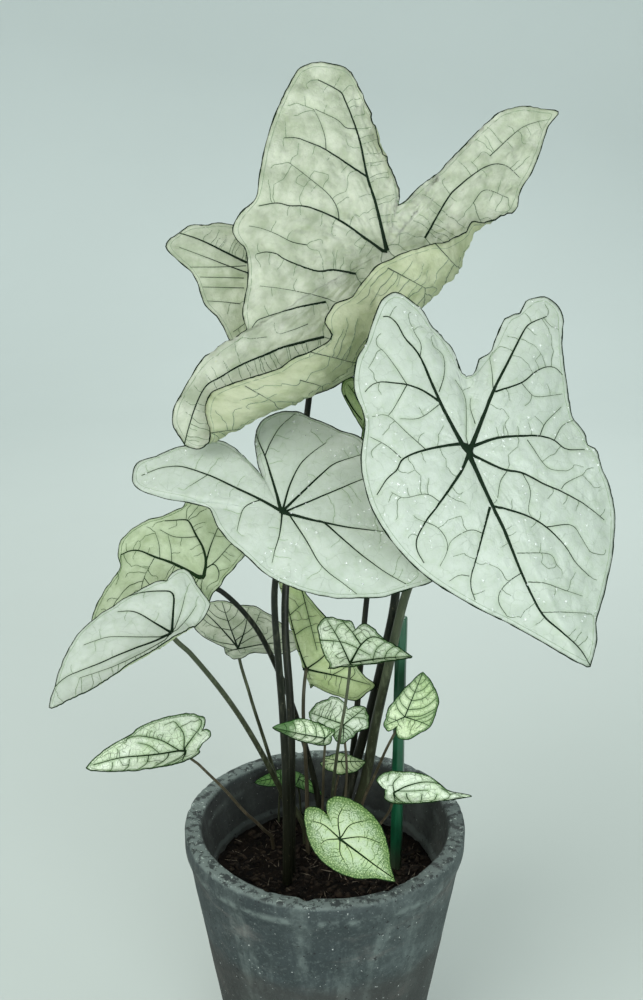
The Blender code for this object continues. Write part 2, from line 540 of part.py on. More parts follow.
def make_stake():
    x, y = STAKE_PLACE
    foot = SOIL_TOP - STAKE_DEPTH
    profile = [(0.0, foot), (STAKE_RADIUS / 2, foot), (STAKE_RADIUS, foot + STAKE_POINT),
               (STAKE_RADIUS, STAKE_TOP - EDGE_ROUND), (STAKE_RADIUS - EDGE_ROUND, STAKE_TOP),
               (0.0, STAKE_TOP)]
    item = add_object("stake", lathe("stake", profile, STAKE_SIDES), "stake", smooth=False)
    item.location = (x, y, 0.0)
    item.rotation_euler = (0.0, 0.0, math.radians(STAKE_TURN))


def soil_height(x, y, rng):
    """Uneven soil top, a little higher at the middle of the plant."""
    broad = 0.5 * math.sin(60 * x + 1.0) + 0.5 * math.cos(48 * y - 40 * x)
    return SOIL_TOP + SOIL_BUMP * (broad + rng.uniform(-0.5, 0.5))


def make_soil():
    rng = random.Random(SEED)
    top_edge = inner_radius(SOIL_TOP) - GAP
    points, rings = [(0.0, 0.0, FLOOR + GAP)], [[0]]
    rows = [(inner_radius(FLOOR + GAP) - GAP, FLOOR + GAP), (top_edge, SOIL_TOP)]
    rows += [(top_edge * (1 - k / SOIL_RINGS), None) for k in range(1, SOIL_RINGS)]
    for radius, height in rows:
        ring = []
        for k in range(ROUND_SIDES):
            a = 2 * math.pi * k / ROUND_SIDES
            x, y = radius * math.cos(a), radius * math.sin(a)
            ring.append(len(points))
            points.append((x, y, soil_height(x, y, rng) if height is None else height))
        rings.append(ring)
    rings.append([len(points)])
    points.append((0.0, 0.0, SOIL_TOP))
    soil = add_object("soil", mesh_from("soil", points, ring_faces(rings, ROUND_SIDES)), "soil")
    holes = bpy.data.collections.new("soil_holes")
    bpy.context.scene.collection.children.link(holes)
    for leaf in LEAVES:
        x, y = leaf.stalk["base"]
        sides = stalk_sides(leaf)
        radius = leaf.stalk["radius"][0] / 1000 + GAP / math.cos(math.pi / sides)
        cutter(holes, "hole_" + leaf.name, (x / 1000, y / 1000), radius, sides, STALK_DEPTH + GAP)
    radius = STAKE_RADIUS + GAP / math.cos(math.pi / STAKE_SIDES)
    cutter(holes, "hole_stake", STAKE_PLACE, radius, STAKE_SIDES, STAKE_DEPTH + GAP, STAKE_TURN)
    cut = soil.modifiers.new("holes", "BOOLEAN")
    cut.operation = "DIFFERENCE"
    cut.operand_type = "COLLECTION"
    cut.collection = holes
    cut.solver = "EXACT"


def cutter(holes, name, place, radius, sides, depth, turn=0):
    """Upright round cutter that leaves a plain hole in the soil."""
    low, high = SOIL_TOP - depth, SOIL_TOP + CUTTER_RISE
    profile = [(0.0, low), (radius, low), (radius, high), (0.0, high)]
    item = bpy.data.objects.new(name, lathe(name, profile, sides))
    item.location = (*place, 0.0)
    item.rotation_euler = (0.0, 0.0, math.radians(turn))
    item.hide_render = True
    item.display_type = "WIRE"
    holes.objects.link(item)


def stalk_sides(leaf):
    return 8 if leaf.stalk["radius"][0] > 2.5 else 6


def make_stalk(leaf):
    """Round stalk that thins towards the blade and ends flat against its underside."""
    sides = stalk_sides(leaf)
    wide, thin = (r / 1000 for r in leaf.stalk["radius"])
    length = np.linalg.norm(leaf.joint - np.array([0, 0, SOIL_TOP]))
    path, share = stalk_path(leaf, max(FEWEST_RINGS, min(MOST_RINGS, round(length / RING_SPACING) + 5)))
    ahead = np.gradient(path, axis=0)
    ahead /= np.linalg.norm(ahead, axis=1)[:, None]
    ahead[0] = ahead[1] = (0, 0, 1)
    ahead[-1] = stalk_end(leaf)[1]
    across = np.array([1.0, 0.0, 0.0])
    points, faces = [path[0]], []
    for k, (centre, way) in enumerate(zip(path, ahead)):
        across = across - way * np.dot(across, way)
        across /= np.linalg.norm(across)
        other = np.cross(way, across)
        radius = wide if k < 2 else wide + (thin - wide) * min(1.0, share[k] * 1.05) ** 0.8
        for n in range(sides):
            a = 2 * math.pi * n / sides
            offset = (across * math.cos(a) + other * math.sin(a)) * radius
            if k == len(path) - 1:
                offset = offset - way * np.dot(offset, leaf.normal) / np.dot(way, leaf.normal)
            points.append(centre + offset)
    rings = len(path)
    points.append(path[-1])
    for n in range(sides):
        m = (n + 1) % sides
        faces.append((0, 1 + m, 1 + n))
        for k in range(rings - 1):
            low = 1 + k * sides
            high = low + sides
            faces.append((low + n, low + m, high + m, high + n))
        last = 1 + (rings - 1) * sides
        faces.append((last + n, last + m, len(points) - 1))
    add_object("stalk_" + leaf.name, mesh_from("stalk_" + leaf.name, points, faces), leaf.stalk_colour)


def make_blade(leaf):
    """Thin waved blade: a fan of ribs from the joint, thickened alike on both faces."""
    bearings = even_bearings(leaf, leaf.sectors)
    count = len(bearings)
    points = [leaf.joint]
    for ring in range(1, leaf.rings + 1):
        u = (ring / leaf.rings) ** 0.9
        points.extend(blade_points(leaf, bearings, np.full(count, u)))
    faces = []
    for k in range(count):
        n = (k + 1) % count
        faces.append((0, 1 + k, 1 + n))
        for ring in range(leaf.rings - 1):
            low = 1 + ring * count
            high = low + count
            if (k + ring) % 2:
                faces.append((low + k, high + k, high + n))
                faces.append((low + k, high + n, low + n))
            else:
                faces.append((low + k, high + k, low + n))
                faces.append((high + k, high + n, low + n))
    item = add_object("blade_" + leaf.name, mesh_from("blade_" + leaf.name, points, faces), leaf.colour)
    sheet = item.modifiers.new("thickness", "SOLIDIFY")
    sheet.thickness = leaf.thick
    sheet.offset = 0.0


def main():
    clear_scene()
    make_pot()
    make_soil()
    make_stake()
    for leaf in LEAVES:
        make_stalk(leaf)
        make_blade(leaf)


main()
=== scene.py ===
"""Finished look of a white caladium in a weathered dark pot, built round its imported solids.

Lengths are metres unless a name says mm or px, angles are degrees, +Z is up, and the plant's
open side faces -Y.
"""
import math
import random

import bpy
import numpy as np
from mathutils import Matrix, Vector, noise
from mathutils.bvhtree import BVHTree
from mathutils.geometry import barycentric_transform
from mathutils.kdtree import KDTree


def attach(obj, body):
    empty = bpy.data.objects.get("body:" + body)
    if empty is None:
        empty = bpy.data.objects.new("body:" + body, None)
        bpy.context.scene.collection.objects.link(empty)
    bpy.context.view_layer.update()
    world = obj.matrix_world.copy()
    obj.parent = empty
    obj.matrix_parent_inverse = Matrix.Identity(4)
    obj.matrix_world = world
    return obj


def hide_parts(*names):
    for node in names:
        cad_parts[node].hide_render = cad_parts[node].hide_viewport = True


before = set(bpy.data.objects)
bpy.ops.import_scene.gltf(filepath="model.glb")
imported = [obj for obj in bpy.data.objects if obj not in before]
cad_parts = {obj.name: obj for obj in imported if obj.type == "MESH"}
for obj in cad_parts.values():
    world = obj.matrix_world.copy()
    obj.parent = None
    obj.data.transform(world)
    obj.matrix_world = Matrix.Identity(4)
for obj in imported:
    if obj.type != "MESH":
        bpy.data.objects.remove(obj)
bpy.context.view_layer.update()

bl_info = {
    "name": "Potted Caladium Dressing",
    "version": (1, 0, 0),
    "blender": (4, 5, 0),
    "location": "View3D > Sidebar > Caladium",
    "description": "Builds the leaves, ribs, stalks, stake, soil, pot and studio of a potted caladium",
    "category": "Object",
}

BODY = "root"

# Camera of the photograph
PHOTO_WIDTH_PX, PHOTO_HEIGHT_PX = 643, 1000
CAMERA_PLACE = (-0.003, -1.041, 0.937)
CAMERA_PITCH = 19.6
FOCAL_PX = 1300.0
SENSOR_MM = 36.0

# Pot, soil and stake, as in the solids
POT_HEIGHT = 0.250
RIM_RADIUS = 0.130
RIM_WALL = 0.015
COLLAR_DEPTH = 0.018
COLLAR_STEP = 0.0045
COLLAR_SLOPE = 0.014
BASE_RADIUS = 0.091
BASE_CHAMFER = 0.003
FLOOR = 0.020
INNER_BASE_RADIUS = 0.077
RIM_WAVE = 0.0007
SOIL_TOP = 0.190
SOIL_BUMP = 0.0022
GAP = 0.0003
STALK_DEPTH = 0.024
FOOT_RING, FOOT_UPRIGHT, FOOT_BEND = 0.002, 0.006, 0.014
STAKE_PLACE = (0.068, 0.012)
STAKE_TOP = 0.452
STAKE_RADIUS = 0.0058
STAKE_SIDES = 6
STAKE_DEPTH = 0.055
STAKE_TURN = 12

# Fineness of the pieces: points round them, and steps along them
POT_SIDES, STAKE_POINTS, STALK_SIDES = 264, 72, 20
SOIL_SIDES, SOIL_RINGS = 180, 60
POT_STEP, STAKE_STEP, STALK_STEP = 0.0035, 0.006, 0.0035
STAKE_EDGE_SHARE = 0.955

# Unevenness: (how often, how big) layers of noise, and (how often, shift, least, depth) of hollows
POT_GRAIN = ((22, 0.0005), (70, 0.00022))
SOIL_GRAIN = ((75, 0.0026), (190, 0.0016), (420, 0.0008))
POT_PITS = (240, (0, 0, 0), 0.34, 0.0016)
POT_CHIPS = (95, (7, 3, 1), 0.18, 0.0042)
POT_WEAR = (60, (2, 9, 4), 0.05, 0.0022)
STALK_SKIN, STALK_GROOVE, GROOVE_SIDE, GROOVE_WIDTH = 0.05, 0.05, 5, 1.6

# Leaves
BIG_BLADE = 0.0008
SMALL_BLADE = 0.0006
RIB_STEPS = 32
NOISE_SEED = 1
BIG_REACH_MM, LEAST_SCALE = 170, 0.25
PHOTO_RIB_STEP_PX, PHOTO_EDGE_STEP_PX = 1.5, 2.0
RIB_STEP_MM, FINE_RIB_STEP_MM = 1.6, 1.4
RIB_BREAK_MM = 9.0
EDGE_SHARE_LEAST, EDGE_SHARE_MOST = 0.86, 1.09
FINE_GROWTH_ROUNDS, FINE_TURN = 60, 0.42
FINE_RIB_MOST_MM = 0.9
RIB_RISE, RIB_RISE_BY_WIDTH = 0.00022, 0.00011
RIB_TAPER, JOINT_SWELL, JOINT_SWELL_REACH = 1.15, 0.45, 1.2
LEAF_MAP_MM = 100.0
FEWEST_PHOTO_RIBS, RULE_OVERLAP = 6, 0.45
FINE_SPARSE, SPARSE_FAINTNESS = 2.2, 1.15
FINE_WIDTH_MM, FINE_WIDTH_BY_LOAD_MM = 0.34, 0.09

# Measures that grow with the leaf: (value on a tiny leaf, how much a big one adds)
RIB_WIDTH_SHARE = (1.28, -0.28)
JOINT_CATCH_MM = (0.0, 14.4)
RULE_WIDTH_MM = (0.5, 3.2)
RULE_APART_MM = (2, 7)
FINE_PITCH_MM = (2.6, 5.6)
FINE_INSET_MM = (2.5, 3.5)
FINE_APART_MM = (0.5, 3.6)
FINE_GROWTH_MM = (0.7, 0.8)
FINE_REACHED_MM = (0.9, 1.0)
FINE_SHORTEST_MM = (2.0, 5.0)
FINE_BRIDGE_MM = (2.0, 9.0)
FINE_WIDTH_SHARE = (0.85, 0.15)
SWELL_MM = (3, 9)
MARGIN_WIDTH_MM = (0.60, 0.30)
INNER_LINE_INSET_MM = (1.7, 1.5)
INNER_LINE_WIDTH_MM = (0.28, 0.08)


class Leaf:
    """One leaf: where its blade joins the stalk, how it is turned, its outline and its bends.

    outline rows are (bearing, reach in mm) seen from the joint, bearing 0 at the tip and growing
    towards the blade's left side; shape rows are (bearing, lift, curl) of the ribs. stalk holds the
    stalk's foot, the points that it passes, and its radius at its foot and at the blade, in mm.
    arrive tells how much the stalk's end points along the blade's normal, upwards and to its left.
    """

    def __init__(self, name, joint, turn, outline, shape, sinus, stalk, colours, thick=SMALL_BLADE,
                 flat=0.006, ripple=(0.0, 0, 0), rolls=(), arrive=(0.8, 0.6, 0.0)):
        self.name, self.joint = name, np.array(joint) / 1000.0
        self.outline, self.shape, self.sinus, self.rolls = outline, shape, sinus, rolls
        self.foot, self.through, self.radii = stalk
        self.colour, self.stalk_colour = "blade_" + colours[0], "stalk_" + colours[1]
        self.thick, self.flat, self.ripple, self.arrive = thick, flat, ripple, arrive
        self.tip, self.side, self.normal = blade_axes(*turn)


def blade_axes(heading, droop, roll):
    """Tip direction, left side and upper-face normal of a blade."""
    h, d, r = (math.radians(a) for a in (heading, droop, roll))
    tip = np.array([math.cos(h) * math.cos(d), math.sin(h) * math.cos(d), -math.sin(d)])
    up = np.array([math.cos(h) * math.sin(d), math.sin(h) * math.sin(d), math.cos(d)])
    normal = up * math.cos(r) + np.cross(up, tip) * math.sin(r)
    return tip, np.cross(normal, tip), normal


def cubic(s, begin, end, leave, arrive):
    """Curve from begin to end, at share s, with its slopes at both."""
    return ((1 + 2 * s) * (1 - s) ** 2 * begin + s * (1 - s) ** 2 * leave
            + s * s * (3 - 2 * s) * end + s * s * (s - 1) * arrive)


def lengths(points):
    """Length along a path at each of its points."""
    return np.concatenate([[0], np.cumsum(np.linalg.norm(np.diff(points, axis=0), axis=1))])


def round_curve(rows, column, corners, x):
    """Shape-keeping cubic through rows that close on themselves after a full turn."""
    knots = np.array([row[0] for row in rows], float)
    values = np.array([row[column] for row in rows], float)
    gap = np.diff(np.append(knots, knots[0] + 360.0))
    slope = np.diff(np.append(values, values[0])) / gap
    before, gap_before = np.roll(slope, 1), np.roll(gap, 1)
    same = before * slope > 0
    w1, w2 = 2 * gap + gap_before, gap + 2 * gap_before
    mid = np.where(same, (w1 + w2) / (w1 / np.where(same, before, 1) + w2 / np.where(same, slope, 1)), 0)
    corner = np.isin(knots, corners)
    arrive, leave = np.where(corner, before, mid), np.where(corner, slope, mid)
    x = (np.asarray(x, float) - knots[0]) % 360.0 + knots[0]
    k = np.clip(np.searchsorted(knots, x, side="right") - 1, 0, len(knots) - 1)
    after = (k + 1) % len(knots)
    s = (x - knots[k]) / gap[k]
    return cubic(s, values[k], values[after], gap[k] * leave[k], gap[k] * arrive[after])


def rib_profile(reach, lift, curl, flat):
    """Out and up distances at even steps along each rib; the blade is flat at its joint."""
    mid = (np.arange(RIB_STEPS) + 0.5) / RIB_STEPS
    ease = np.clip(mid[None, :] * reach[:, None] / flat, 0.0, 1.0)
    ease = ease * ease * (3 - 2 * ease)
    angle = np.radians((lift[:, None] + curl[:, None] * mid[None, :]) * ease)
    step = reach[:, None] / RIB_STEPS
    return (np.concatenate([np.zeros((len(reach), 1)), np.cumsum(part(angle) * step, 1)], 1)
            for part in (np.cos, np.sin))


def roll_over(local, bearing, axis, start, radius, most, window):
    """Roll the sheet over a line at `axis`; start and radius are (place mm, mm) rows along it.

    The part to the left of the line turns up to `most` degrees, downwards where that is negative.
    """
    a = math.radians(axis)
    ax, ay = math.cos(a), math.sin(a)
    along = local[:, 0] * ax + local[:, 1] * ay
    across = -local[:, 0] * ay + local[:, 1] * ax
    begin = np.interp(along * 1000, [row[0] for row in start], [row[1] for row in start]) / 1000
    size = np.interp(along * 1000, [row[0] for row in radius], [row[1] for row in radius]) / 1000
    inside = (bearing >= window[0]) & (bearing <= window[1])
    past = np.where(inside, np.maximum(across - begin, 0.0), 0.0)
    turn = np.minimum(past / size, math.radians(abs(most)))
    rest = past - turn * size
    y = across - past + size * np.sin(turn) + rest * np.cos(turn)
    lifted = size * (1 - np.cos(turn)) + rest * np.sin(turn)
    z = local[:, 2] + math.copysign(1.0, most) * lifted
    return np.stack([along * ax - y * ay, along * ay + y * ax, z], -1)


def blade_points(leaf, bearing, u):
    """World points of the blade's middle sheet; u runs from the joint (0) to the margin (1)."""
    bearing = np.atleast_1d(np.asarray(bearing, float))
    u = np.atleast_1d(np.asarray(u, float))
    reach = round_curve(leaf.outline, 1, (0, leaf.sinus), bearing) / 1000.0
    lift = round_curve(leaf.shape, 1, (), bearing)
    curl = round_curve(leaf.shape, 2, (), bearing)
    out, up = rib_profile(reach, lift, curl, leaf.flat)
    place = np.clip(u, 0, 1) * RIB_STEPS
    k = np.minimum(place.astype(int), RIB_STEPS - 1)
    t = place - k
    row = np.arange(len(bearing))
    o = out[row, k] * (1 - t) + out[row, k + 1] * t
    z = up[row, k] * (1 - t) + up[row, k + 1] * t
    size, waves, phase = leaf.ripple
    angle = np.radians(bearing)
    z = z + size / 1000 * u ** 3 * np.sin(waves * angle + math.radians(phase)) * np.abs(np.sin(angle))
    local = np.stack([o * np.cos(angle), o * np.sin(angle), z], -1)
    for roll in leaf.rolls:
        local = roll_over(local, bearing, *roll)
    return leaf.joint + local[:, :1] * leaf.tip + local[:, 1:2] * leaf.side + local[:, 2:] * leaf.normal


def even_bearings(leaf, count):
    """Bearings that share out the margin's length evenly, with the tip and the sinus kept."""
    sinus = leaf.sinus % 360
    found = []
    for begin, end in ((0.0, sinus), (sinus, 360.0)):
        fine = np.linspace(begin, end, 400)
        signed = np.where(fine > 180, fine - 360, fine)
        found.append((lengths(blade_points(leaf, signed, np.ones(len(fine)))), signed))
    total = found[0][0][-1] + found[1][0][-1]
    first = max(8, round(count * found[0][0][-1] / total))
    bearings = []
    for (length, signed), share in zip(found, (first, count - first)):
        fine = np.unwrap(signed, period=360)
        bearings.extend(np.interp(np.linspace(0, length[-1], share + 1)[:-1], length, fine))
    return (np.array(bearings) + 180) % 360 - 180


def stalk_end(leaf):
    """Middle of the stalk's top, just under the blade, and the way it points there."""
    square, upright, aside = leaf.arrive
    way = leaf.normal * square + np.array([0, 0, upright]) + leaf.side * aside
    way = way / np.linalg.norm(way)
    return leaf.joint - leaf.normal * (leaf.thick / 2 + GAP), way


def stalk_path(leaf, count):
    """Even points along a stalk: upright in the soil, through its own points, up to the blade."""
    end, way = stalk_end(leaf)
    foot = np.array([leaf.foot[0] / 1000, leaf.foot[1] / 1000, SOIL_TOP - STALK_DEPTH])
    collar = foot + np.array([0, 0, STALK_DEPTH + FOOT_UPRIGHT])
    knots = np.array([foot, collar] + [np.array(p) / 1000.0 for p in leaf.through] + [end])
    steps = np.linalg.norm(np.diff(knots, axis=0), axis=1)
    slopes = np.zeros_like(knots)
    slopes[0] = slopes[1] = (0, 0, 1)
    slopes[-1] = way
    for k in range(2, len(knots) - 1):
        before = (knots[k] - knots[k - 1]) / steps[k - 1]
        after = (knots[k + 1] - knots[k]) / steps[k]
        slopes[k] = (before * steps[k] + after * steps[k - 1]) / (steps[k] + steps[k - 1])
    s = np.linspace(0, 1, 25)[:-1, None]
    fine = np.concatenate([cubic(s, knots[k], knots[k + 1], size * slopes[k], size * slopes[k + 1])
                           for k, size in enumerate(steps)] + [knots[-1:]])
    length = lengths(fine)
    free = np.linspace(STALK_DEPTH + FOOT_BEND, length[-1], count - 2)
    places = np.concatenate([[0, STALK_DEPTH + FOOT_RING], free])
    return np.stack([np.interp(places, length, fine[:, k]) for k in range(3)], -1), places / length[-1]


# Whole leaves, tallest first
BIG = dict(thick=BIG_BLADE, flat=0.012)
MEDIUM = dict(thick=BIG_BLADE, flat=0.008)

LEAVES = [
    Leaf("crown", (49, 0, 777), (-160, 40, 63), sinus=-148,
         outline=[(-148, 37), (-145, 54), (-142, 70), (-139, 84), (-134, 99), (-129, 114), (-125, 134),
         (-121, 156), (-115, 162), (-110, 161), (-105, 150), (-98, 140), (-90, 132), (-83, 125), (-75, 116),
         (-68, 114), (-59, 121), (-52, 124), (-44, 113), (-35, 114), (-28, 119), (-22, 124), (-16, 128),
         (-14, 136), (-13, 176), (-11, 190), (-9, 201), (-7, 213), (-4, 222), (0, 226), (4, 218), (10, 209),
         (16, 204), (22, 197), (28, 184), (34, 170), (44, 152), (51, 138), (56, 145), (62, 143), (67, 135),
         (77, 135), (85, 130), (93, 122), (100, 115), (108, 103), (126, 88), (140, 88), (152, 101),
         (160, 117), (166, 142), (171, 153), (174, 166), (176, 178), (180, 169), (184, 155), (187, 138),
         (189, 108), (192, 77), (197, 62), (202, 50), (206, 42)],
         shape=[(-144, 2, -4), (-116, 3, -12), (-90, 4, -10), (-40, 4, -14), (0, 4, -14), (90, 0, 0),
         (170, 4, -10)],
         rolls=[(0, [(-96, 48), (-88, 38), (-58, 23), (-23, 27), (10, 27), (107, 23), (130, 22), (180, 11),
         (213, 5)], [(-96, 6), (-88, 8), (-58, 17), (-23, 27), (10, 28), (107, 25), (180, 12), (213, 9)],
         180, (0, 180)), (62, [(-150, 9), (-122, 11), (-98, 12), (-80, 13), (-60, 15), (-36, 21)],
         [(-150, 6), (-120, 7)], 165, (-148, -100))], ripple=(2.0, 9, 20), thick=BIG_BLADE, flat=0.012,
         stalk=((10, 45), [(22, 46, 249), (43, 42, 342), (53, 34, 398), (63, 22, 469), (59, 10, 560),
         (53, 6, 690)], (5.5, 2.8)), colours=("white", "dark")),
    Leaf("back", (-3, 60, 726), (-121, 64, 38), sinus=-165,
         outline=[(-165, 40), (-150, 55), (-135, 75), (-125, 90), (-118, 100), (-114, 112), (-110, 121),
         (-106, 133), (-101, 139), (-96, 143), (-92, 128), (-88, 112), (-82, 105), (-74, 101), (-66, 91),
         (-50, 86), (-30, 82), (-12, 80), (0, 88), (20, 76), (45, 70), (75, 72), (100, 80), (120, 92),
         (138, 104), (150, 92), (165, 68), (180, 50)],
         shape=[(-165, 0, -10), (-100, 4, -26), (-40, 2, -10), (0, 0, -6), (60, 2, -8), (140, 4, -22)],
         ripple=(2.5, 11, 40), **MEDIUM,
         stalk=((-32, 4), [(-31, 4, 269), (-31, 4, 355), (-35, 16, 471), (-25, 38, 553), (-15, 52, 632)],
         (4.6, 2.5)), colours=("white", "dark")),
    Leaf("right", (102, -160, 660), (-34, 54, -37), sinus=150,
         outline=[(-170, 112), (-160, 104), (-150, 93), (-140, 80), (-120, 77), (-100, 81), (-80, 84),
         (-60, 89), (-40, 98), (-25, 113), (-14, 126), (-5, 146), (0, 183), (7, 168), (14, 147), (22, 141),
         (30, 130), (40, 123), (50, 112), (60, 103), (67, 93), (80, 89), (95, 96), (107, 116), (114, 135),
         (120, 141), (125, 132), (131, 105), (136, 77), (143, 68), (150, 56), (156, 71), (162, 92),
         (168, 117), (174, 130), (180, 126)],
         shape=[(-90, 8, -26), (0, 6, -26), (90, 8, -26), (180, 4, -22)], ripple=(1.5, 8, 0), **BIG,
         stalk=((26, 48), [(39, 42, 268), (48, 26, 341), (57, 0, 410), (69, -28, 493), (90, -72, 572)],
         (5.8, 3.0)), colours=("white", "olive")),
    Leaf("middle", (-34, -90, 588), (-23, 14, -38), sinus=141,
         outline=[(-178, 133), (-172, 130), (-168, 121), (-166, 100), (-165, 80), (-160, 58), (-144, 52),
         (-107, 45), (-72, 53), (-46, 68), (-29, 83), (-21, 93), (-13, 106), (-6, 116), (0, 128), (2, 131),
         (5, 126), (10, 112), (22, 94), (38, 88), (58, 91), (69, 95), (77, 99), (89, 95), (103, 98),
         (111, 104), (119, 102), (127, 97), (133, 84), (137, 62), (141, 32), (145, 52), (149, 78),
         (153, 92), (160, 99), (169, 113), (176, 122)],
         shape=[(-180, 6, -20), (-130, 5, -10), (-90, 5, -30), (-45, 5, -45), (0, 6, -30), (90, 5, -24)],
         ripple=(1.2, 7, 60), **BIG,
         stalk=((-35, -12), [(-35, -14, 291), (-37, -20, 366), (-40, -34, 432), (-42, -56, 500)],
         (4.6, 2.5)), colours=("white", "dark")),
    Leaf("rear_right", (59, 50, 604), (-69, 73, -25), sinus=180,
         outline=[(-165, 52), (-154, 67), (-147, 70), (-141, 66), (-137, 58), (-132, 46), (-126, 37),
         (-113, 28), (-80, 28), (-60, 32), (-40, 40), (-20, 50), (0, 66), (20, 50), (40, 44), (70, 42),
         (100, 46), (125, 56), (145, 70), (160, 58), (170, 42), (180, 26)],
         shape=[(-90, 2, -20), (0, 0, -30), (90, 2, -20), (180, 0, -20)], ripple=(1.5, 9, 0), **MEDIUM,
         stalk=((17, 64), [(27, 64, 280), (34, 66, 376), (39, 67, 444), (50, 66, 540)], (3.6, 2.2)),
         colours=("green", "dark")),
    Leaf("left_rear", (-104, -30, 507), (-161, 24, 43), sinus=-135,
         outline=[(-174, 48), (-160, 80), (-150, 88), (-142, 84), (-135, 76), (-126, 80), (-111, 84),
         (-103, 73), (-89, 73), (-75, 80), (-59, 86), (-51, 83), (-42, 75), (-32, 82), (-26, 89), (-17, 99),
         (0, 112), (11, 98), (25, 72), (45, 50), (65, 34), (92, 22), (132, 19), (174, 32)],
         shape=[(-90, 5, -25), (0, 5, -30), (90, 5, -10), (180, 0, -20)],
         rolls=[(0, [(-60, 1), (-20, 1), (0, 3), (30, 5), (80, 4), (112, 1)], [(-60, 3), (-12, 6), (10, 9),
         (60, 9), (110, 4)], 20, (0, 180))], ripple=(1.6, 8, 0), **MEDIUM,
         stalk=((-3, 52), [(-22, 42, 318), (-42, 24, 391), (-66, 0, 455), (-88, -20, 490)], (3.4, 2.2)),
         colours=("white", "dark")),
    Leaf("left_front", (-124, -90, 485), (-163, 24, 45), sinus=-111,
         outline=[(-175, 34), (-168, 40), (-155, 42), (-143, 46), (-132, 54), (-125, 57), (-118, 54),
         (-111, 46), (-100, 48), (-81, 49), (-61, 55), (-43, 68), (-34, 78), (-26, 87), (-18, 95),
         (-9, 106), (0, 119), (9, 106), (18, 92), (34, 72), (61, 49), (90, 36), (120, 27), (150, 23),
         (170, 25)],
         shape=[(-90, 5, -25), (0, 5, -30), (90, 5, -10), (180, 0, -20)],
         rolls=[(0, [(-40, 1), (-10, 2), (20, 3), (80, 3), (110, 1)], [(-40, 4), (0, 6), (70, 7), (110, 3)],
         74, (0, 180))], ripple=(1.4, 9, 0), **MEDIUM,
         stalk=((-18, 50), [(-43, 41, 259), (-60, 20, 312), (-79, -14, 372), (-111, -72, 457)], (3.2, 2.1)),
         colours=("white", "olive")),
    Leaf("rear_left", (-80, 45, 404), (109, -23, 8), sinus=-165,
         outline=[(-165, 10), (-140, 11), (-113, 16), (-107, 48), (-100, 57), (-90, 58), (-73, 52),
         (-51, 52), (-27, 55), (-15, 55), (0, 63), (9, 65), (22, 61), (37, 54), (44, 42), (52, 24),
         (66, 13), (100, 12), (138, 11)],
         shape=[(-90, 5, -20), (0, 5, -10), (90, 5, -20), (180, 0, -30)], ripple=(1.0, 7, 0),
         stalk=((-31, 64), [(-44, 63, 243), (-56, 60, 292), (-71, 53, 354)], (2.2, 1.5)),
         colours=("white", "olive")),
    Leaf("rear_upright", (-17, 40, 386), (155, -72, -106), sinus=180,
         outline=[(-160, 22), (-120, 24), (-90, 24), (-60, 30), (-30, 48), (-14, 80), (0, 110), (12, 84),
         (17, 70), (40, 52), (70, 44), (100, 47), (112, 55), (118, 66), (126, 61), (139, 55), (149, 38),
         (165, 22), (180, 16)],
         shape=[(-90, 0, 0), (0, 0, 6), (90, 0, 8), (180, 0, 0)],
         rolls=[(180, [(-110, 0), (20, 0)], [(-110, 2), (-60, 4), (20, 4)], 160, (-180, 0))],
         ripple=(1.0, 8, 0), **MEDIUM,
         stalk=((-16, 36), [(-17, 38, 260)], (2.4, 1.6)), colours=("green", "brown")),
    Leaf("centre", (21, -55, 440), (5, -6, -40), sinus=73,
         outline=[(-160, 20), (-120, 24), (-90, 26), (-50, 30), (-25, 38), (-8, 48), (0, 55), (9, 47),
         (35, 38), (48, 39), (65, 41), (73, 34), (81, 41), (92, 43), (108, 51), (118, 48), (128, 38),
         (150, 24), (175, 18)],
         shape=[(-90, 0, -10), (0, 3, -15), (90, 5, -20), (180, 0, -10)],
         rolls=[(180, [(-55, 0), (30, 0)], [(-55, 1.5), (-20, 3), (30, 3)], 66, (-180, 0))],
         ripple=(1.0, 9, 0), arrive=(0.5, 0.8, 0.0),
         stalk=((4, 26), [(6, 10, 250), (8, -14, 299), (13, -46, 366), (19, -53, 413)], (1.9, 1.3)),
         colours=("white", "olive")),
    Leaf("right_small", (70, -30, 375), (41, -58, -61), sinus=162,
         outline=[(-169, 20), (-155, 21), (-132, 21), (-112, 22), (-90, 27), (-61, 31), (-48, 34),
         (-32, 37), (-8, 41), (0, 43), (17, 29), (45, 19), (73, 17), (112, 17), (134, 20), (152, 20),
         (162, 11), (176, 16)],
         shape=[(-90, 3, -15), (0, 3, -12), (90, 3, -15), (180, 3, -15)], ripple=(0.4, 7, 0),
         stalk=((27, 34), [(36, 29, 249), (47, 10, 293), (58, -16, 341)], (1.7, 1.2)),
         colours=("green", "brown")),
    Leaf("centre_low", (17, -12, 357), (-95, 45, 4), sinus=169,
         outline=[(-174, 24), (-159, 29), (-134, 32), (-113, 35), (-98, 32), (-87, 22), (-54, 14), (0, 18),
         (23, 14), (59, 14), (80, 18), (90, 23), (112, 25), (132, 27), (150, 23), (169, 15)],
         shape=[(-90, 0, -20), (0, 0, -20), (90, 0, -20), (180, 0, -20)], ripple=(0.6, 7, 0),
         arrive=(0.9, 0.1, 0.0),
         stalk=((19, 14), [(19, 4, 262), (20, -4, 308)], (1.6, 1.1)), colours=("white", "brown")),
    Leaf("spear", (0, -55, 368), (173, -9, 60), sinus=-150,
         outline=[(-150, 6), (-133, 11), (-94, 10), (-49, 16), (-25, 29), (-13, 36), (0, 48), (10, 36),
         (25, 26), (50, 16), (90, 11), (133, 8), (170, 6)],
         shape=[(-90, 5, -20), (0, 3, -10), (90, 0, 0), (180, 0, -10)],
         rolls=[(0, [(-20, 0), (50, 0)], [(-20, 2), (50, 1.5)], 60, (0, 180))], ripple=(0.4, 7, 0),
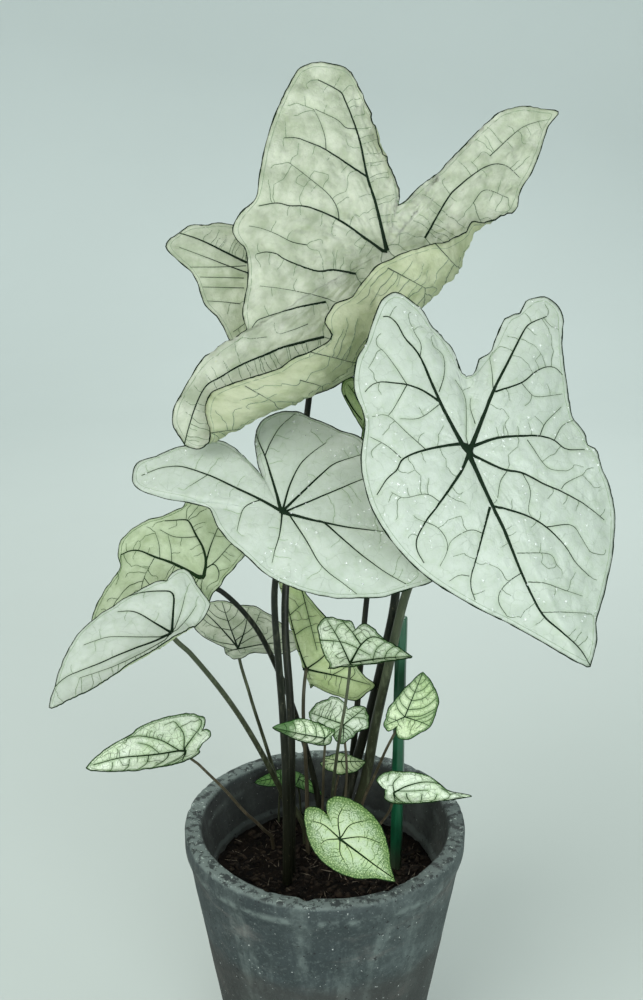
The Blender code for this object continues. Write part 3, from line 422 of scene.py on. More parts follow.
         arrive=(0.5, 0.8, 0.0),
         stalk=((-5, 28), [(-2, 8, 261), (-1, -32, 330)], (1.5, 1.1)), colours=("dark", "brown")),
    Leaf("low_left", (-120, -60, 359), (-177, 8, 44), sinus=-135,
         outline=[(-165, 16), (-156, 25), (-146, 27), (-139, 26), (-135, 22), (-130, 30), (-124, 34),
         (-106, 34), (-77, 35), (-51, 41), (-30, 51), (-17, 62), (0, 90), (12, 66), (25, 50), (45, 38),
         (75, 30), (110, 22), (145, 16), (172, 12)],
         shape=[(-90, 5, -20), (0, 5, -20), (90, 3, -5), (180, 0, -10)],
         rolls=[(0, [(-30, 0), (10, 1), (60, 3), (88, 1)], [(-30, 2), (10, 5), (60, 6), (88, 3)],
         58, (0, 180))], ripple=(0.6, 8, 0),
         stalk=((-50, 42), [(-60, 30, 221), (-75, 10, 252), (-91, -14, 291), (-110, -40, 332)], (1.8, 1.2)),
         colours=("green", "brown")),
    Leaf("right_low", (60, -60, 317), (0, 3, -60), sinus=160,
         outline=[(-170, 8), (-120, 14), (-60, 17), (-25, 27), (-10, 42), (0, 69), (4, 50), (12, 42),
         (23, 36), (48, 25), (80, 19), (116, 19), (146, 19), (153, 14), (160, 8), (172, 8)],
         shape=[(-90, 0, -5), (0, 5, -12), (90, 5, -20), (180, 0, -10)],
         rolls=[(180, [(-70, 0), (-30, 1), (20, 0)], [(-70, 1.5), (-30, 4), (20, 3)], 62, (-180, 0))],
         ripple=(0.5, 8, 0),
         stalk=((38, 26), [(46, 2, 234), (59, -36, 286)], (1.5, 1.1)), colours=("white", "brown")),
    Leaf("pale_low", (15, 10, 306), (0, 0, -60), sinus=180,
         outline=[(-177, 20), (-160, 17), (-122, 12), (-72, 12), (-32, 17), (0, 24), (14, 15), (50, 9),
         (81, 8), (120, 9), (153, 12), (170, 18), (180, 12)],
         shape=[(-90, 0, -20), (0, 0, -20), (90, 0, -20), (180, 0, -20)], ripple=(0.5, 7, 0),
         arrive=(0.6, 0.8, 0.0),
         stalk=((8, 30), [(10, 24, 265)], (1.3, 1.0)), colours=("green", "brown")),
    Leaf("front", (12, -100, 297), (-27, 25, -42), sinus=152,
         outline=[(-177, 36), (-161, 30), (-133, 25), (-105, 23), (-78, 24), (-45, 30), (-26, 37),
         (-11, 44), (0, 59), (8, 50), (25, 43), (38, 40), (60, 37), (80, 35), (97, 35), (114, 36),
         (129, 37), (142, 35), (147, 30), (152, 21), (157, 29), (165, 36), (174, 39)],
         shape=[(-90, 5, -20), (0, 5, -20), (90, 5, -20), (180, 5, -20)], ripple=(0.5, 8, 0),
         stalk=((12, 8), [(12, -20, 222), (12, -72, 272)], (1.9, 1.3)), colours=("green", "olive")),
    Leaf("seedling_left", (-43, 79, 247), (180, 10, 20), sinus=180,
         outline=[(-150, 9), (-110, 10), (-60, 11), (-25, 17), (0, 28), (25, 17), (60, 11), (110, 10),
         (150, 9), (180, 5)],
         shape=[(-90, 5, -20), (0, 5, -20), (90, 5, -20), (180, 0, -10)], ripple=(0.0, 7, 0),
         stalk=((-46, 85), [(-45, 84, 222)], (1.2, 0.9)), colours=("dark", "olive")),
    Leaf("seedling_right", (-26, 82, 243), (-6, 30, -10), sinus=180,
         outline=[(-150, 9), (-110, 10), (-60, 11), (-25, 17), (0, 30), (25, 17), (60, 11), (110, 10),
         (150, 9), (180, 5)],
         shape=[(-90, 5, -20), (0, 5, -20), (90, 5, -20), (180, 0, -10)], ripple=(0.0, 7, 0),
         stalk=((-24, 90), [(-25, 88, 222)], (1.2, 0.9)), colours=("dark", "olive")),
]


# Ribs read off the photograph: (start width mm, end width mm, pixels from the joint outwards)
PHOTO_RIBS_PX = {
    "crown": [
        (3.4, 0.9, [(387, 251), (376, 205), (367, 176), (359, 138), (344, 98), (339, 91), (318, 80)]),
        (2.2, 0.7, [(367, 177), (326, 150), (310, 143), (297, 138), (284, 138)]),
        (1.0, 0.5, [(357, 129), (346, 128), (337, 120), (315, 109)]),
        (0.8, 0.4, [(326, 150), (325, 137), (320, 122), (314, 110)]),
        (3.0, 0.8, [(383, 251), (362, 236), (339, 220), (308, 207), (290, 206), (277, 203), (259, 206)]),
        (1.0, 0.5, [(339, 220), (337, 208), (328, 194), (305, 175), (289, 163)]),
        (1.0, 0.4, [(307, 245), (292, 242), (276, 234), (260, 228), (249, 226)]),
        (2.6, 0.8, [(356, 274), (333, 270), (316, 271), (286, 260), (277, 254), (266, 252), (257, 254)]),
        (0.9, 0.4, [(328, 299), (309, 294), (284, 289), (260, 286)]),
        (2.4, 0.7, [(326, 302), (304, 306), (288, 310), (266, 317), (257, 321), (252, 328)]),
        (0.9, 0.5, [(308, 324), (296, 329), (281, 334)]),
        (0.7, 0.4, [(267, 337), (250, 339)]),
        (2.8, 0.9, [(324, 337), (303, 342), (281, 348), (265, 355), (241, 365), (219, 378), (206, 386),
                    (196, 405), (188, 430), (184, 446)]),
        (2.2, 0.7, [(425, 238), (446, 201), (458, 187), (485, 167), (504, 165), (520, 178)]),
        (1.0, 0.5, [(490, 156), (520, 129), (540, 121)]),
        (0.8, 0.5, [(473, 203), (485, 190), (508, 198)]),
        (0.8, 0.5, [(310, 352), (331, 357), (355, 363)]),
        (0.8, 0.5, [(300, 380), (322, 386)]),
        (0.8, 0.5, [(245, 386), (273, 402)]),
        (0.8, 0.5, [(205, 434), (240, 429)]),
        (1.0, 0.5, [(388, 268), (405, 277), (425, 288)]),
        (1.0, 0.5, [(432, 240), (455, 265)]),
    ],
    "back": [
        (2.8, 1.0, [(247, 263), (225, 252), (200, 240), (179, 233)]),
        (0.9, 0.5, [(246, 266), (218, 267), (190, 267)]),
        (0.8, 0.5, [(244, 278), (200, 277)]),
        (0.9, 0.5, [(244, 288), (203, 287)]),
        (1.0, 0.5, [(240, 304), (222, 302), (207, 301)]),
    ],
    "right": [
        (4.4, 0.9, [(469, 451), (462, 444), (440, 402), (420, 357), (405, 338), (397, 324), (389, 317),
                    (383, 317)]),
        (2.4, 0.7, [(440, 402), (423, 391), (407, 385), (394, 383), (381, 382), (372, 385), (365, 392)]),
        (0.9, 0.5, [(407, 385), (394, 408), (388, 416)]),
        (0.9, 0.4, [(420, 357), (421, 345), (415, 334), (412, 327)]),
        (0.9, 0.4, [(439, 392), (444, 375), (443, 356), (434, 347)]),
        (0.9, 0.4, [(425, 449), (408, 434), (388, 416), (372, 417)]),
        (4.0, 0.9, [(470, 450), (478, 430), (493, 392), (509, 360), (525, 329), (534, 322), (546, 317)]),
        (2.0, 0.7, [(495, 392), (521, 383), (535, 372), (546, 367), (555, 368), (562, 375)]),
        (0.8, 0.4, [(493, 388), (492, 372), (490, 360)]),
        (0.8, 0.4, [(521, 383), (529, 392), (537, 397), (562, 394)]),
        (3.2, 0.8, [(468, 446), (459, 444), (425, 450), (403, 459), (397, 470), (387, 479), (377, 495)]),
        (0.9, 0.5, [(401, 458), (387, 446), (370, 437)]),
        (3.0, 0.8, [(468, 456), (459, 475), (438, 505), (426, 521), (417, 538), (417, 550), (424, 563)]),
        (0.8, 0.4, [(426, 522), (438, 528), (446, 539), (447, 551), (440, 566)]),
        (3.0, 0.8, [(471, 447), (497, 438), (524, 436), (539, 436), (553, 440), (566, 449), (584, 450)]),
        (0.9, 0.5, [(540, 435), (546, 422), (561, 407)]),
        (2.6, 0.8, [(474, 456), (502, 469), (522, 473), (544, 484), (560, 491), (579, 501), (589, 508),
                    (604, 520)]),
        (0.8, 0.4, [(561, 489), (566, 483), (582, 475)]),
        (4.4, 0.9, [(470, 457), (492, 505), (505, 532), (521, 572), (541, 612), (561, 631), (579, 648),
                    (590, 665)]),
        (2.2, 0.7, [(493, 506), (509, 510), (529, 517), (546, 527), (564, 545), (576, 563), (589, 576)]),
        (1.0, 0.5, [(546, 527), (570, 525), (580, 536), (589, 551)]),
        (2.4, 0.7, [(490, 507), (482, 536), (476, 559), (471, 576), (471, 588), (475, 600)]),
        (0.8, 0.4, [(469, 576), (459, 575), (449, 581)]),
        (1.0, 0.5, [(521, 573), (509, 581), (499, 593), (499, 604), (507, 616)]),
        (0.9, 0.4, [(528, 582), (544, 583), (564, 590), (582, 596)]),
        (0.8, 0.4, [(542, 612), (560, 612), (584, 613)]),
        (0.8, 0.4, [(407, 385), (396, 368), (385, 353), (378, 347)]),
        (0.8, 0.4, [(440, 404), (420, 418), (400, 419)]),
        (0.8, 0.4, [(466, 437), (466, 410), (464, 395), (455, 380)]),
        (0.8, 0.4, [(475, 424), (470, 407), (471, 398)]),
        (0.8, 0.4, [(554, 440), (562, 426), (574, 420)]),
        (0.8, 0.4, [(527, 440), (540, 459), (550, 469), (566, 471)]),
        (0.8, 0.4, [(507, 471), (500, 482), (497, 500), (492, 504)]),
        (0.8, 0.4, [(522, 473), (530, 490), (528, 510), (532, 518)]),
        (0.8, 0.4, [(440, 502), (426, 494), (404, 498), (391, 492)]),
        (0.8, 0.4, [(484, 534), (470, 530), (452, 540), (447, 551)]),
        (0.8, 0.4, [(517, 553), (549, 554), (556, 564)]),
    ],
    "middle": [
        (2.8, 0.7, [(281, 511), (261, 500), (230, 485), (208, 475), (183, 467), (170, 467), (159, 469),
                    (142, 476)]),
        (3.0, 0.7, [(281, 510), (276, 492), (270, 472), (265, 456), (259, 442), (255, 429)]),
        (1.4, 0.6, [(265, 456), (271, 442), (279, 429), (295, 414)]),
        (2.2, 0.7, [(283, 509), (290, 485), (300, 465), (312, 453), (326, 443)]),
        (2.6, 0.7, [(284, 510), (307, 488), (330, 467), (345, 460), (361, 455)]),
        (2.2, 0.7, [(285, 512), (325, 495), (363, 479), (385, 468)]),
        (3.2, 0.8, [(285, 513), (300, 517), (316, 521), (345, 527), (383, 532)]),
        (1.8, 0.7, [(316, 521), (324, 523), (345, 541), (363, 556), (385, 572), (406, 584)]),
        (1.6, 0.6, [(290, 516), (306, 540), (318, 561), (328, 572), (340, 581), (357, 594)]),
        (1.8, 0.6, [(282, 514), (281, 525), (279, 537), (275, 550), (272, 563)]),
        (1.2, 0.5, [(261, 500), (252, 503), (244, 508), (240, 518), (237, 531)]),
        (0.9, 0.4, [(208, 475), (200, 480), (190, 486)]),
    ],
    "rear_right": [(2.0, 1.0, [(345, 395), (352, 407), (362, 420)])],
    "left_rear": [
        (3.4, 1.1, [(203, 577), (198, 577), (190, 572), (172, 563), (155, 557), (140, 551), (130, 551),
                    (121, 555)]),
        (3.0, 0.9, [(204, 576), (206, 562), (203, 548), (196, 535), (190, 523), (186, 520), (165, 521)]),
        (1.6, 0.7, [(206, 562), (211, 545), (217, 530)]),
        (1.0, 0.6, [(210, 566), (217, 560), (230, 545)]),
        (1.4, 0.7, [(207, 568), (214, 564), (219, 572), (218, 580)]),
        (0.9, 0.5, [(197, 537), (175, 537), (160, 530)]),
        (0.8, 0.4, [(155, 557), (150, 566), (145, 576)]),
        (0.7, 0.4, [(172, 563), (171, 548), (168, 535)]),
        (0.7, 0.4, [(160, 558), (159, 544), (155, 532)]),
    ],
    "left_front": [
        (2.4, 0.8, [(172, 631), (173, 615), (174, 598), (172, 593), (166, 591), (140, 593), (120, 600),
                    (102, 609)]),
        (2.2, 0.7, [(170, 632), (155, 623), (140, 614), (130, 611), (118, 612)]),
        (1.0, 0.6, [(160, 637), (135, 637), (110, 637), (95, 641), (84, 645)]),
        (1.8, 0.7, [(170, 634), (155, 641), (136, 648), (116, 656), (98, 664), (80, 671), (65, 678),
                    (54, 688)]),
        (0.9, 0.5, [(165, 640), (140, 654), (112, 667), (80, 678)]),
        (0.8, 0.5, [(175, 628), (181, 612), (185, 596)]),
        (0.8, 0.5, [(177, 630), (188, 618), (196, 606)]),
    ],
    "rear_left": [
        (2.0, 0.7, [(238, 648), (228, 636), (215, 622), (202, 610)]),
        (2.0, 0.7, [(238, 648), (243, 636), (246, 625), (247, 618)]),
        (0.9, 0.5, [(234, 645), (218, 642), (206, 637)]),
        (0.9, 0.5, [(241, 644), (253, 637), (266, 634)]),
    ],
    "rear_upright": [
        (2.0, 1.0, [(308, 672), (303, 660), (295, 635), (286, 600)]),
        (0.9, 0.6, [(300, 583), (306, 606), (312, 630), (317, 650)]),
        (0.9, 0.5, [(295, 635), (305, 628), (313, 625)]),
        (0.9, 0.5, [(290, 615), (299, 607), (306, 602)]),
    ],
    "centre": [
        (1.8, 0.7, [(352, 660), (361, 645), (372, 637), (385, 640)]),
        (1.2, 0.6, [(361, 645), (352, 632), (345, 624), (340, 617)]),
        (0.9, 0.5, [(320, 640), (345, 643), (370, 655)]),
    ],
    "low_left": [
        (1.8, 0.7, [(184, 751), (178, 751), (160, 754), (140, 756), (120, 758), (93, 765)]),
        (1.2, 0.6, [(180, 751), (170, 745), (160, 740), (140, 736), (128, 738)]),
        (1.2, 0.6, [(184, 750), (184, 735), (180, 728), (176, 723)]),
        (1.2, 0.6, [(185, 748), (193, 737), (201, 726), (201, 720)]),
        (0.7, 0.4, [(160, 754), (150, 746), (138, 743)]),
    ],
    "right_low": [
        (1.6, 0.6, [(395, 792), (407, 786), (425, 782), (443, 785), (457, 792)]),
        (1.2, 0.6, [(394, 791), (393, 783), (400, 776)]),
        (0.8, 0.5, [(398, 791), (412, 791), (428, 790)]),
    ],
    "front": [
        (1.4, 0.7, [(340, 837), (338, 819), (342, 809)]),
        (1.2, 0.6, [(342, 836), (350, 825), (364, 821)]),
        (1.3, 0.6, [(342, 839), (362, 837), (380, 843)]),
        (2.0, 0.8, [(341, 840), (360, 854), (376, 866), (393, 878)]),
        (1.3, 0.6, [(338, 837), (324, 825), (312, 821)]),
        (1.2, 0.6, [(338, 839), (326, 840), (321, 844)]),
        (1.2, 0.6, [(340, 841), (340, 853), (344, 860)]),
        (0.7, 0.4, [(346, 845), (350, 851), (352, 857)]),
    ],
}

# Margins as the photograph shows them, where it shows more than the solid's outline has
PHOTO_EDGES_PX = {
    "crown": [
        [(352, 73), (337, 66), (318, 63), (304, 67), (295, 75), (279, 107), (267, 140), (260, 173),
         (256, 198), (240, 214), (233, 230),
         (238, 241), (246, 251), (248, 280), (243, 312), (247, 330)],
        [(504, 111), (525, 107), (545, 110), (558, 113), (548, 126), (541, 148), (531, 173), (521, 189),
         (517, 206)],
    ],
    "right": [
        [(466, 377), (460, 373), (457, 365), (454, 356), (450, 348), (441, 338), (431, 328), (425, 318),
         (419, 309), (409, 301), (399, 295), (393, 294), (385, 298), (380, 304), (375, 316), (370, 331),
         (365, 346), (358, 357), (355, 370), (354, 384), (356, 396), (361, 407), (364, 417), (365, 426),
         (363, 440), (361, 460), (364, 482), (373, 511), (394, 544), (426, 576), (470, 604), (510, 624),
         (550, 646), (574, 660), (590, 669)],
        [(466, 377), (473, 376), (476, 369), (478, 361), (483, 357), (489, 354), (494, 348), (496, 337),
         (499, 328), (506, 320), (513, 316), (520, 314), (522, 309), (527, 302), (541, 298), (549, 300),
         (558, 309), (562, 321), (561, 332), (560, 344), (562, 360), (565, 376), (567, 392), (570, 413),
         (577, 425), (583, 434), (585, 440), (587, 446), (592, 448), (596, 453), (599, 466), (604, 476),
         (608, 488), (612, 504), (614, 524), (610, 556), (606, 576), (602, 596), (595, 620), (595, 640),
         (590, 669)],
    ],
}

# Per leaf: unevenness of its margin, how strongly its blade is puckered, its kind of colouring, and
# how faint its fine ribs are
BLADE_FEEL = {
    "crown": (0.014, 1.8, "cream", 1.14),
    "back": (0.016, 1.1, "cream", 1.10),
    "right": (0.014, 0.75, "white", 0.85),
    "middle": (0.010, 0.45, "white", 1.35),
    "rear_right": (0.014, 0.8, "yellow", 0.9),
    "left_rear": (0.016, 1.3, "sage", 0.95),
    "left_front": (0.014, 0.9, "white", 1.18),
    "rear_left": (0.016, 0.8, "cream", 0.8),
    "rear_upright": (0.016, 1.0, "yellow", 0.6),
    "centre": (0.050, 1.0, "netted", 0.24),
    "right_small": (0.020, 0.8, "lime", 0.30),
    "centre_low": (0.060, 1.0, "netted", 0.22),
    "spear": (0.030, 0.6, "tipped", 0.24),
    "low_left": (0.034, 0.9, "netted", 0.26),
    "right_low": (0.024, 0.9, "netted", 0.26),
    "pale_low": (0.030, 0.8, "yellow", 0.4),
    "front": (0.012, 0.7, "bright", 1.00),
    "seedling_left": (0.020, 0.6, "young", 0.5),
    "seedling_right": (0.020, 0.6, "young", 0.5),
}


def camera_ray(px, py):
    """Direction from the camera through a pixel of the photograph."""
    pitch = math.radians(CAMERA_PITCH)
    ahead = np.array([0.0, math.cos(pitch), -math.sin(pitch)])
    above = np.array([0.0, math.sin(pitch), math.cos(pitch)])
    right = np.array([1.0, 0.0, 0.0])
    way = (ahead + right * (px - PHOTO_WIDTH_PX / 2) / FOCAL_PX
           - above * (py - PHOTO_HEIGHT_PX / 2) / FOCAL_PX)
    return way / np.linalg.norm(way)


def smooth_path(points, step):
    """Even points on a smooth curve through the given points of any dimension."""
    points = np.array(points, float)
    if len(points) < 3:
        middle = (points[0] + points[-1]) / 2
        points = np.array([points[0], middle, points[-1]])
    padded = np.concatenate([2 * points[:1] - points[1:2], points, 2 * points[-1:] - points[-2:-1]])
    s = np.linspace(0, 1, 17)[:-1, None]
    curve = []
    for a, b, c, d in zip(padded, padded[1:], padded[2:], padded[3:]):
        curve.append(0.5 * (2 * b + (c - a) * s + (2 * a - 5 * b + 4 * c - d) * s ** 2
                            + (3 * b - a - 3 * c + d) * s ** 3))
    curve = np.concatenate(curve + [points[-1:]])
    length = lengths(curve)
    places = np.linspace(0, length[-1], max(3, round(length[-1] / step) + 1))
    return np.stack([np.interp(places, length, curve[:, k]) for k in range(points.shape[1])], -1)


def evened(path):
    """A path with the points between its ends moved towards their neighbours."""
    return np.concatenate([path[:1], (path[:-2] + 2 * path[1:-1] + path[2:]) / 4, path[-1:]])


def stretched_points(leaf, bearings, shares):
    """Blade points where a share above 1 carries on straight past the solid's margin."""
    inner = blade_points(leaf, bearings, np.minimum(shares, 1.0))
    edge = blade_points(leaf, bearings, np.ones(len(bearings)))
    before = blade_points(leaf, bearings, np.full(len(bearings), 0.96))
    return inner + (edge - before) / 0.04 * np.maximum(0.0, shares - 1.0)[:, None]


def photo_tracer(points, flats, pointed):
    """Function that gives the flat place on a grid of points that a pixel of the photograph sees.

    pointed tells that the grid's first ring is a single place.
    """
    rings, count = points.shape[:2]
    corners, flats, faces = points.reshape(-1, 3), flats.reshape(-1, 2), []
    for r in range(rings - 1):
        for k in range(count):
            a, b = r * count + k, r * count + (k + 1) % count
            if r or not pointed:
                faces.append((a, a + count, b))
            faces.append((b, a + count, b + count))
    tree = BVHTree.FromPolygons([Vector(p) for p in corners], faces)

    def trace(px, py):
        hit, _, face, _ = tree.ray_cast(Vector(CAMERA_PLACE), Vector(camera_ray(px, py)))
        if hit is None:
            return None
        spot = barycentric_transform(hit, *(Vector(corners[i]) for i in faces[face]),
                                     *(Vector((*flats[i], 0.0)) for i in faces[face]))
        return np.array(spot[:2])

    return trace


def turn_mm(far, bearing):
    """Flat points from distances and bearings in degrees."""
    angle = np.radians(bearing)
    return np.stack([far * np.cos(angle), far * np.sin(angle)], -1)


def point_tree(paths):
    """Search tree of the flat points of several paths."""
    spots = np.concatenate(paths)
    tree = KDTree(len(spots))
    for k, (x, y) in enumerate(spots):
        tree.insert((x, y, 0), k)
    tree.balance()
    return tree


class Sheet:
    """Fine surface of one leaf: a grid of rings and bearings, with its ribs and its quilting."""

    def __init__(self, leaf, settings):
        self.leaf = leaf
        margin = lengths(blade_points(leaf, np.linspace(-180, 179, 360), np.ones(360)))[-1]
        size_mm = max(row[1] for row in leaf.outline)
        self.scale = min(1.0, max(LEAST_SCALE, size_mm / BIG_REACH_MM))
        spacing = settings.mesh_step * (0.25 + 0.75 * self.scale)
        self.sectors = max(60, round(margin / spacing))
        self.rings = max(16, round(size_mm / 1000 / spacing * 0.8))
        self.bearings = np.sort(even_bearings(leaf, self.sectors) % 360)
        self.rng = random.Random(leaf.name)
        self.levels = (np.arange(0, self.rings + 1) / self.rings) ** 0.85
        self.leaf_wave, self.fold, _, self.faint = BLADE_FEEL[leaf.name]
        signed = (self.bearings + 180) % 360 - 180
        edge = self.edge_shares()
        self.reach = round_curve(leaf.outline, 1, (0, leaf.sinus), self.bearings) * edge
        self.points = np.stack([np.tile(leaf.joint, (self.sectors, 1))]
                               + [stretched_points(leaf, signed, u * edge) for u in self.levels[1:]])
        self.flat = turn_mm(self.levels[:, None] * self.reach[None, :], self.bearings)
        self.main_ribs = self.make_main_ribs()
        self.fine_ribs = self.grow_fine_ribs()
        self.quilt(settings.quilt_depth)

    def sized(self, measure):
        """A measure of this leaf, from its value on a tiny leaf and what a big one adds."""
        return measure[0] + measure[1] * self.scale

    def edge_shares(self):
        """Where the margin lies at each bearing, 1 on the solid's own: read off the photograph, or wavy."""
        seed = self.rng.uniform(0, 60)
        angle = np.radians(self.bearings)
        share = np.array([1.0 - self.leaf_wave * (
            0.5 + noise.noise(Vector((math.cos(a) * 5 + seed, math.sin(a) * 5, seed)))
            + 0.6 * noise.noise(Vector((math.cos(a) * 13, math.sin(a) * 13, seed)))) for a in angle])
        runs = [self.edge_run(pixels) for pixels in PHOTO_EDGES_PX.get(self.leaf.name, ())]
        if not runs:
            return share
        found = np.concatenate(runs)
        found = found[np.argsort(found[:, 0])]
        read = np.interp(self.bearings, found[:, 0], found[:, 1], period=360)
        apart = np.abs((self.bearings[:, None] - found[None, :, 0] + 180) % 360 - 180).min(1)
        mix = np.clip(1.6 - apart / 3.0, 0, 1)
        return share * (1 - mix) + read * mix

    def edge_run(self, pixels):
        """(bearing, share) rows of a margin line of the photograph, laid on the blade a little enlarged."""
        signed = (self.bearings + 180) % 360 - 180
        steps = np.linspace(0.82, 1.10, 15)
        grid = np.stack([stretched_points(self.leaf, signed, np.full(self.sectors, u)) for u in steps])
        trace = photo_tracer(grid, turn_mm(steps[:, None], self.bearings), False)
        spots = [trace(px, py) for px, py in smooth_path(pixels, PHOTO_EDGE_STEP_PX)]
        return np.array([(math.degrees(math.atan2(spot[1], spot[0])) % 360,
                          min(EDGE_SHARE_MOST, max(EDGE_SHARE_LEAST, np.hypot(*spot)))) for spot in spots
                         if spot is not None]).reshape(-1, 2)

    def normals(self):
        """Upper-side normals of the grid."""
        along = np.roll(self.points, -1, 1) - np.roll(self.points, 1, 1)
        out = np.gradient(self.points, axis=0)
        normal = np.cross(out, along)
        size = np.linalg.norm(normal, axis=2, keepdims=True)
        normal = np.where(size > 1e-12, normal / np.maximum(size, 1e-12), self.leaf.normal)
        normal[0] = self.leaf.normal
        return normal

    def reach_at(self, bearing):
        """Distance in mm from the joint to the margin."""
        return np.interp(np.asarray(bearing) % 360, self.bearings, self.reach, period=360)

    def place(self, flat, grid):
        """Values of a grid at flat points in mm."""
        bearing = np.degrees(np.arctan2(flat[:, 1], flat[:, 0])) % 360
        far = np.hypot(flat[:, 0], flat[:, 1])
        level = np.clip(far / self.reach_at(bearing), 0, 1)
        row = np.interp(level, self.levels, np.arange(self.rings + 1))
        column = np.interp(bearing, np.append(self.bearings, 360.0), np.arange(self.sectors + 1))
        r0 = np.minimum(row.astype(int), self.rings - 1)
        c0 = np.minimum(column.astype(int), self.sectors - 1)
        c1 = (c0 + 1) % self.sectors
        s, t = (row - r0)[:, None], (column - c0)[:, None]
        return ((grid[r0, c0] * (1 - t) + grid[r0, c1] * t) * (1 - s)
                + (grid[r0 + 1, c0] * (1 - t) + grid[r0 + 1, c1] * t) * s)

    def read_photo_ribs(self):
        """Ribs of the photograph laid on the leaf: rays through their pixels meet the blade."""
        trace = photo_tracer(self.points, self.flat, True)
        found = []
        for start, end, pixels in PHOTO_RIBS_PX.get(self.leaf.name, ()):
            run = []
            for px, py in smooth_path(pixels, PHOTO_RIB_STEP_PX):
                spot = trace(px, py)
                if spot is None:
                    continue
                if run and np.linalg.norm(spot - run[-1]) > RIB_BREAK_MM:
                    found.append((start, end, run))
                    run = []
                run.append(spot)
            found.append((start, end, run))
        return [(start, end, self.soften(np.array(run))) for start, end, run in found if len(run) > 4]

    def soften(self, run):
        """A run of flat points made even, and joined to the leaf's joint if it begins close by."""
        for _ in range(3):
            run = evened(run)
        if np.linalg.norm(run[0]) < self.sized(JOINT_CATCH_MM):
            run = np.concatenate([np.zeros((1, 2)), run])
        return smooth_path(run, RIB_STEP_MM)

    def rule_ribs(self):
        """Ribs by rule: midrib, lobe ribs and side ribs that bend towards the tip."""
        width, tip = self.sized(RULE_WIDTH_MM), float(self.reach_at(0.0))
        found = [(width, 0.6, [(0, 0), (0.5 * tip, 0.01 * tip), (0.97 * tip, 0)])]

        def spot(bearing, share):
            return turn_mm(float(self.reach_at(bearing)) * share, bearing)

        for side in (1, -1):
            turns = np.arange(88, 172) * side
            lobe = turns[int(np.argmax(self.reach_at(turns)))]
            end = spot(lobe, 0.92)
            found.append((width * 0.85, 0.5, [(0, 0), end * 0.55 + spot(lobe - 25 * side, 0.04), end]))
            found.append((width * 0.6, 0.5, [(0, 0), spot(66 * side, 0.5), spot(56 * side, 0.93)]))
            for share in (0.4, 0.68):
                root = end * share
                out = spot(lobe - 34 * side * (1.2 - share), 0.92)
                found.append((width * 0.35, 0.4, [root, root * 0.45 + out * 0.55 + end * 0.06, out]))
            for share, bearing in ((0.16, 40), (0.36, 26), (0.55, 15), (0.72, 7.5)):
                root = np.array([share * tip, 0.0])
                out = spot(bearing * side, 0.94)
                bend = np.array([root[0] + 0.38 * (out[0] - root[0]), 0.62 * out[1]])
                found.append((width * (0.62 - 0.4 * share), 0.45, [root, bend, out]))
        return [(start, end, smooth_path(path, RIB_STEP_MM)) for start, end, path in found]

    def make_main_ribs(self):
        """The photograph's ribs, and where they are few also the ribs by rule that lie clear of them."""
        ribs = self.read_photo_ribs()
        if len(ribs) < FEWEST_PHOTO_RIBS:
            taken = np.concatenate([path for _, _, path in ribs]) if ribs else np.zeros((0, 2))
            for start, end, path in self.rule_ribs():
                if len(taken):
                    gap = np.linalg.norm(taken[None] - path[:, None], axis=2).min(1)
                    if np.mean(gap < self.sized(RULE_APART_MM)) > RULE_OVERLAP:
                        continue
                ribs.append((start, end, path))
        return ribs

    def inner_line(self, inset):
        """Closed line inside the margin, at an even distance in mm."""
        edge = self.flat[-1]
        ahead = np.roll(edge, -1, 0) - np.roll(edge, 1, 0)
        inward = np.stack([-ahead[:, 1], ahead[:, 0]], -1)
        inward /= np.maximum(np.linalg.norm(inward, axis=1, keepdims=True), 1e-9)
        line = edge + inward * inset
        for _ in range(6):
            line = (np.roll(line, 1, 0) + 2 * line + np.roll(line, -1, 0)) / 4
        return line

    def grow_fine_ribs(self):
        """Fine ribs that grow from the main ones towards evenly scattered spots on the blade."""
        nodes = np.concatenate([path for _, _, path in self.main_ribs])
        rooted = len(nodes)
        pitch = self.sized(FINE_PITCH_MM) * (FINE_SPARSE if self.faint > SPARSE_FAINTNESS else 1.0)
        inset, apart = self.sized(FINE_INSET_MM), self.sized(FINE_APART_MM)
        low, high = self.flat.reshape(-1, 2).min(0), self.flat.reshape(-1, 2).max(0)
        spots = []
        for x in np.arange(low[0], high[0], pitch):
            for y in np.arange(low[1], high[1], pitch):
                spot = (x + self.rng.uniform(-0.5, 0.5) * pitch, y + self.rng.uniform(-0.5, 0.5) * pitch)
                bearing = math.degrees(math.atan2(spot[1], spot[0])) % 360
                reach = float(self.reach_at(bearing))
                away = np.linalg.norm(nodes - np.array(spot), axis=1).min()
                if math.hypot(*spot) < reach - inset and away > apart:
                    spots.append(spot)
        spots, step, near = np.array(spots), self.sized(FINE_GROWTH_MM), self.sized(FINE_REACHED_MM)
        parent = list(range(-1, rooted - 1))
        grown = list(nodes)
        heading = [way / max(np.linalg.norm(way), 1e-9) for _, _, path in self.main_ribs
                   for way in np.gradient(path, axis=0)]
        for _ in range(FINE_GROWTH_ROUNDS):
            if not len(spots):
                break
            all_nodes, before = np.array(grown), len(grown)
            gap = np.linalg.norm(spots[:, None] - all_nodes[None], axis=2)
            closest = gap.argmin(1)
            left = gap.min(1) > near
            spots, closest = spots[left], closest[left]
            for node in np.unique(closest):
                pull = spots[closest == node] - all_nodes[node]
                way = (pull / np.linalg.norm(pull, axis=1, keepdims=True)).sum(0)
                onward = heading[node] * (0.75 if node >= rooted else 0.55)
                way = way / max(np.linalg.norm(way), 1e-9) + onward
                turn = self.rng.uniform(-FINE_TURN, FINE_TURN)
                way = way + turn * np.array([-way[1], way[0]])
                size = np.linalg.norm(way)
                if size < 1e-6:
                    continue
                spot = all_nodes[node] + way / size * step
                if np.linalg.norm(all_nodes - spot, axis=1).min() < step * 0.3:
                    continue
                grown.append(spot)
